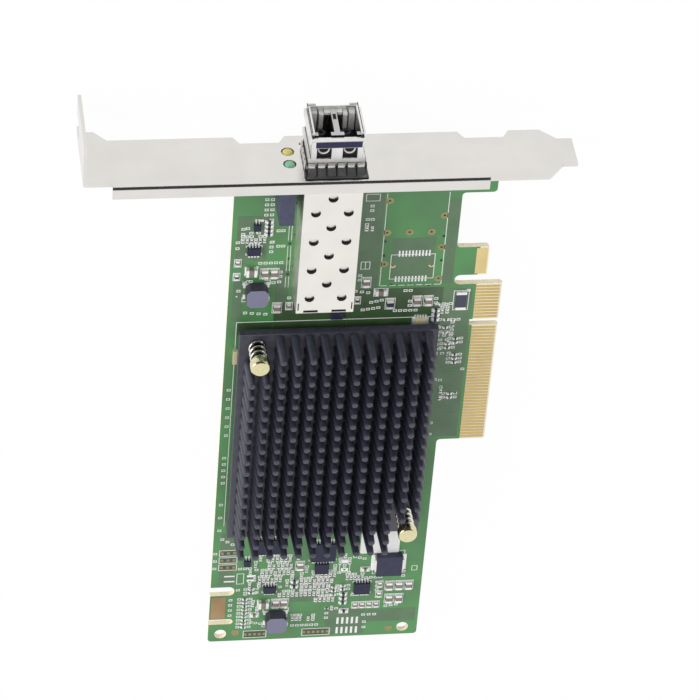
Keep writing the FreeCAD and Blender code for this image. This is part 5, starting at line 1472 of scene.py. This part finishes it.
# %% Guides and strip of the nose
centre = PORT_X / MM
divider_front = DIVIDER_FRONT / MM
cavity_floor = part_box("fibre_receptacle")[0][2] / MM
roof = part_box("transceiver_housing")[1][2] / MM
# distance from the middle, width and height of each guide
GUIDES = [(4.6, 1.5, 1.1), (2.9, 1.1, 1.7)]
guides = [fill(about(centre, 2.2), (66.9, 67.7), (cavity_floor, cavity_floor + 1.3))]
for side in (-1, 1):
    for offset, width, height in GUIDES:
        guides.append(fill(about(centre + offset * side, width / 2), (61.9, 67.4),
                           (cavity_floor, cavity_floor + height)))
# a black plate in the divider's slot is painted shade
divider_slot_shade = fill(about(centre, 0.4), (divider_front - 0.1, divider_front + 0.05), (1.4, 3.4))
strip = fill((centre - 5.2, centre + 6.0), (64.6, 66.35), (roof, roof + 0.04))
lay("port_guides", guides, 0.12, "grey_moulding", guide_grey, "transceiver")
lay("divider_slot_shade", [divider_slot_shade], 0.1, "black_moulding", vent_shade, "transceiver")
lay("navy_strip", [strip], 0.2, "navy_ceramic", strip_navy, "transceiver")

# %% [markdown]
# Inside each latch window a pale hoop catches the plug's latch. It is half of a flat ring.

# %% Hoops in the latch windows
FIBRE_PITCH = 6.25
HOOP = (2.9 * MM, 2.3 * MM, 0.25 * MM)
HOOP_Y = 63.6
hoop_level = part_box("fibre_receptacle")[1][2] - 0.3 * MM - TOP
hoop_places = at_level([(centre + FIBRE_PITCH / 2 * side, HOOP_Y) for side in (-1, 1)], hoop_level)
spread(add_half_ring("hoop", *HOOP), hoop_places, "latch_hoops", "grey_moulding", guide_grey, "transceiver")

# %% [markdown]
# Each spring finger of the collar has an upright knuckle at its bend, and a lip with two upright
# corners frames the ends of the fingers, its nickel painted dark as shade. Plates with softened edges give
# both.

# %% Knuckles and lip of the collar
FINGERS = 6
FINGER_GAP = 0.8
KNUCKLE_Y = (59.1, 59.85)
LIP_Y = (57.2, 57.95)
LIP_Z = (12.75, 13.6)
LIP_FOOT = 10.7
LIP_OUT = 0.45
LIP_CORNER = 0.33
cage_left = cage_low.x / MM
cage_right = cage_high.x / MM
cage_top = cage_high.z / MM
finger_pitch = (cage_right - cage_left) / FINGERS
finger_starts = [cage_left + finger_pitch * step + FINGER_GAP / 2 for step in range(FINGERS)]
knuckles = [fill((left, left + finger_pitch - FINGER_GAP), KNUCKLE_Y, (cage_top - 0.3, cage_top + 0.8))
            for left in finger_starts]
lay("finger_knuckles", knuckles, 0.15, "spring_nickel", satin_nickel)
collar_lip = [fill((cage_left - LIP_OUT, cage_right + LIP_OUT), LIP_Y, LIP_Z)]
for left in (cage_left - LIP_OUT, cage_right + LIP_OUT - LIP_CORNER):
    collar_lip.append(fill((left, left + LIP_CORNER), LIP_Y, (LIP_FOOT, LIP_Z[1])))
# the lip's dark nickel is painted shade
lay("collar_lip", collar_lip, 0.1, "spring_nickel", nickel_in_painted_shade)

# %% [markdown]
# The vents are drawn holes. On its far side each has a dark crescent under the sheet, painted shade where
# the
# sheet shades the transceiver below: a disc with a second disc cut away.

# %% Painted shade crescents in the vents
VENT = 2.46 * MM
VENT_CUT = 2.6 * MM
VENT_SHIFT = 0.62 * MM
VENT_DEPTH = 0.3 * MM
VENT_ROWS = 4
VENT_PITCH = 8.95
VENT_COLUMN = 4.0
FIRST_VENT = 49.1
vent_shade_crescent = add_rod("lip", (0, 0, TOP), VENT / 2, VENT_DEPTH, 32)
cutter = add_rod("cutter", (0, VENT_SHIFT, TOP - VENT_DEPTH), VENT_CUT / 2, VENT_DEPTH * 3, 32)
cut = vent_shade_crescent.modifiers.new("cut", "BOOLEAN")
cut.operation = "DIFFERENCE"
cut.object = cutter
bpy.context.view_layer.objects.active = vent_shade_crescent
bpy.ops.object.modifier_apply(modifier=cut.name)
bpy.data.objects.remove(cutter)
vent_level = cage_high.z - 0.02 * MM - VENT_DEPTH - TOP
vents = [(centre + column * VENT_COLUMN, FIRST_VENT - VENT_PITCH * (step + 0.5 * abs(column)))
         for step in range(VENT_ROWS) for column in (-1, 0, 1)]
# each crescent is painted shade
spread(vent_shade_crescent, at_level(vents, vent_level), "vent_shade_crescents", "cage_nickel", vent_shade)

# %% [markdown]
# The sheet is doubled under the last vents, where no transceiver lies, and its back edge is folded up
# behind two slots. Black plates in the slots and in a slit at each back corner are painted shade.

# %% Doubled sheet, and painted shade in the slots
SLOT_SPREAD = 3.5
SLOT_HALF = 1.8
FOLD = 0.18
SLIT_SPREAD = 6.65
SLIT_HALF = 0.15
SHEET_RIM = 0.05
cage_back = cage_low.y / MM
sheet_top = cage_top - 0.52
folded = [fill(about(centre, 6.6), (cage_back + 1.2, 23.3), (sheet_top - 0.2, sheet_top))]
# the black plates in the slots and slits are painted shade
slot_shade_plates = []
for side in (-1, 1):
    x = about(centre + SLOT_SPREAD * side, SLOT_HALF)
    folded.append(fill(x, (cage_back, cage_back + FOLD), (sheet_top - 0.9, sheet_top + 0.5)))
    slot_shade_plates.append(fill(x, (cage_back + FOLD, cage_back + 0.95), (sheet_top - 0.5, sheet_top + 0.42)))
    slit = about(centre + SLIT_SPREAD * side, SLIT_HALF)
    slot_shade_plates.append(fill(slit, (cage_back + 0.9, cage_back + 3.2), (sheet_top, sheet_top + 0.53)))
lay("doubled_sheet", folded, SHEET_RIM, "cage_nickel", cage_nickel)
lay("slot_shades", slot_shade_plates, SHEET_RIM, "black_moulding", vent_shade)
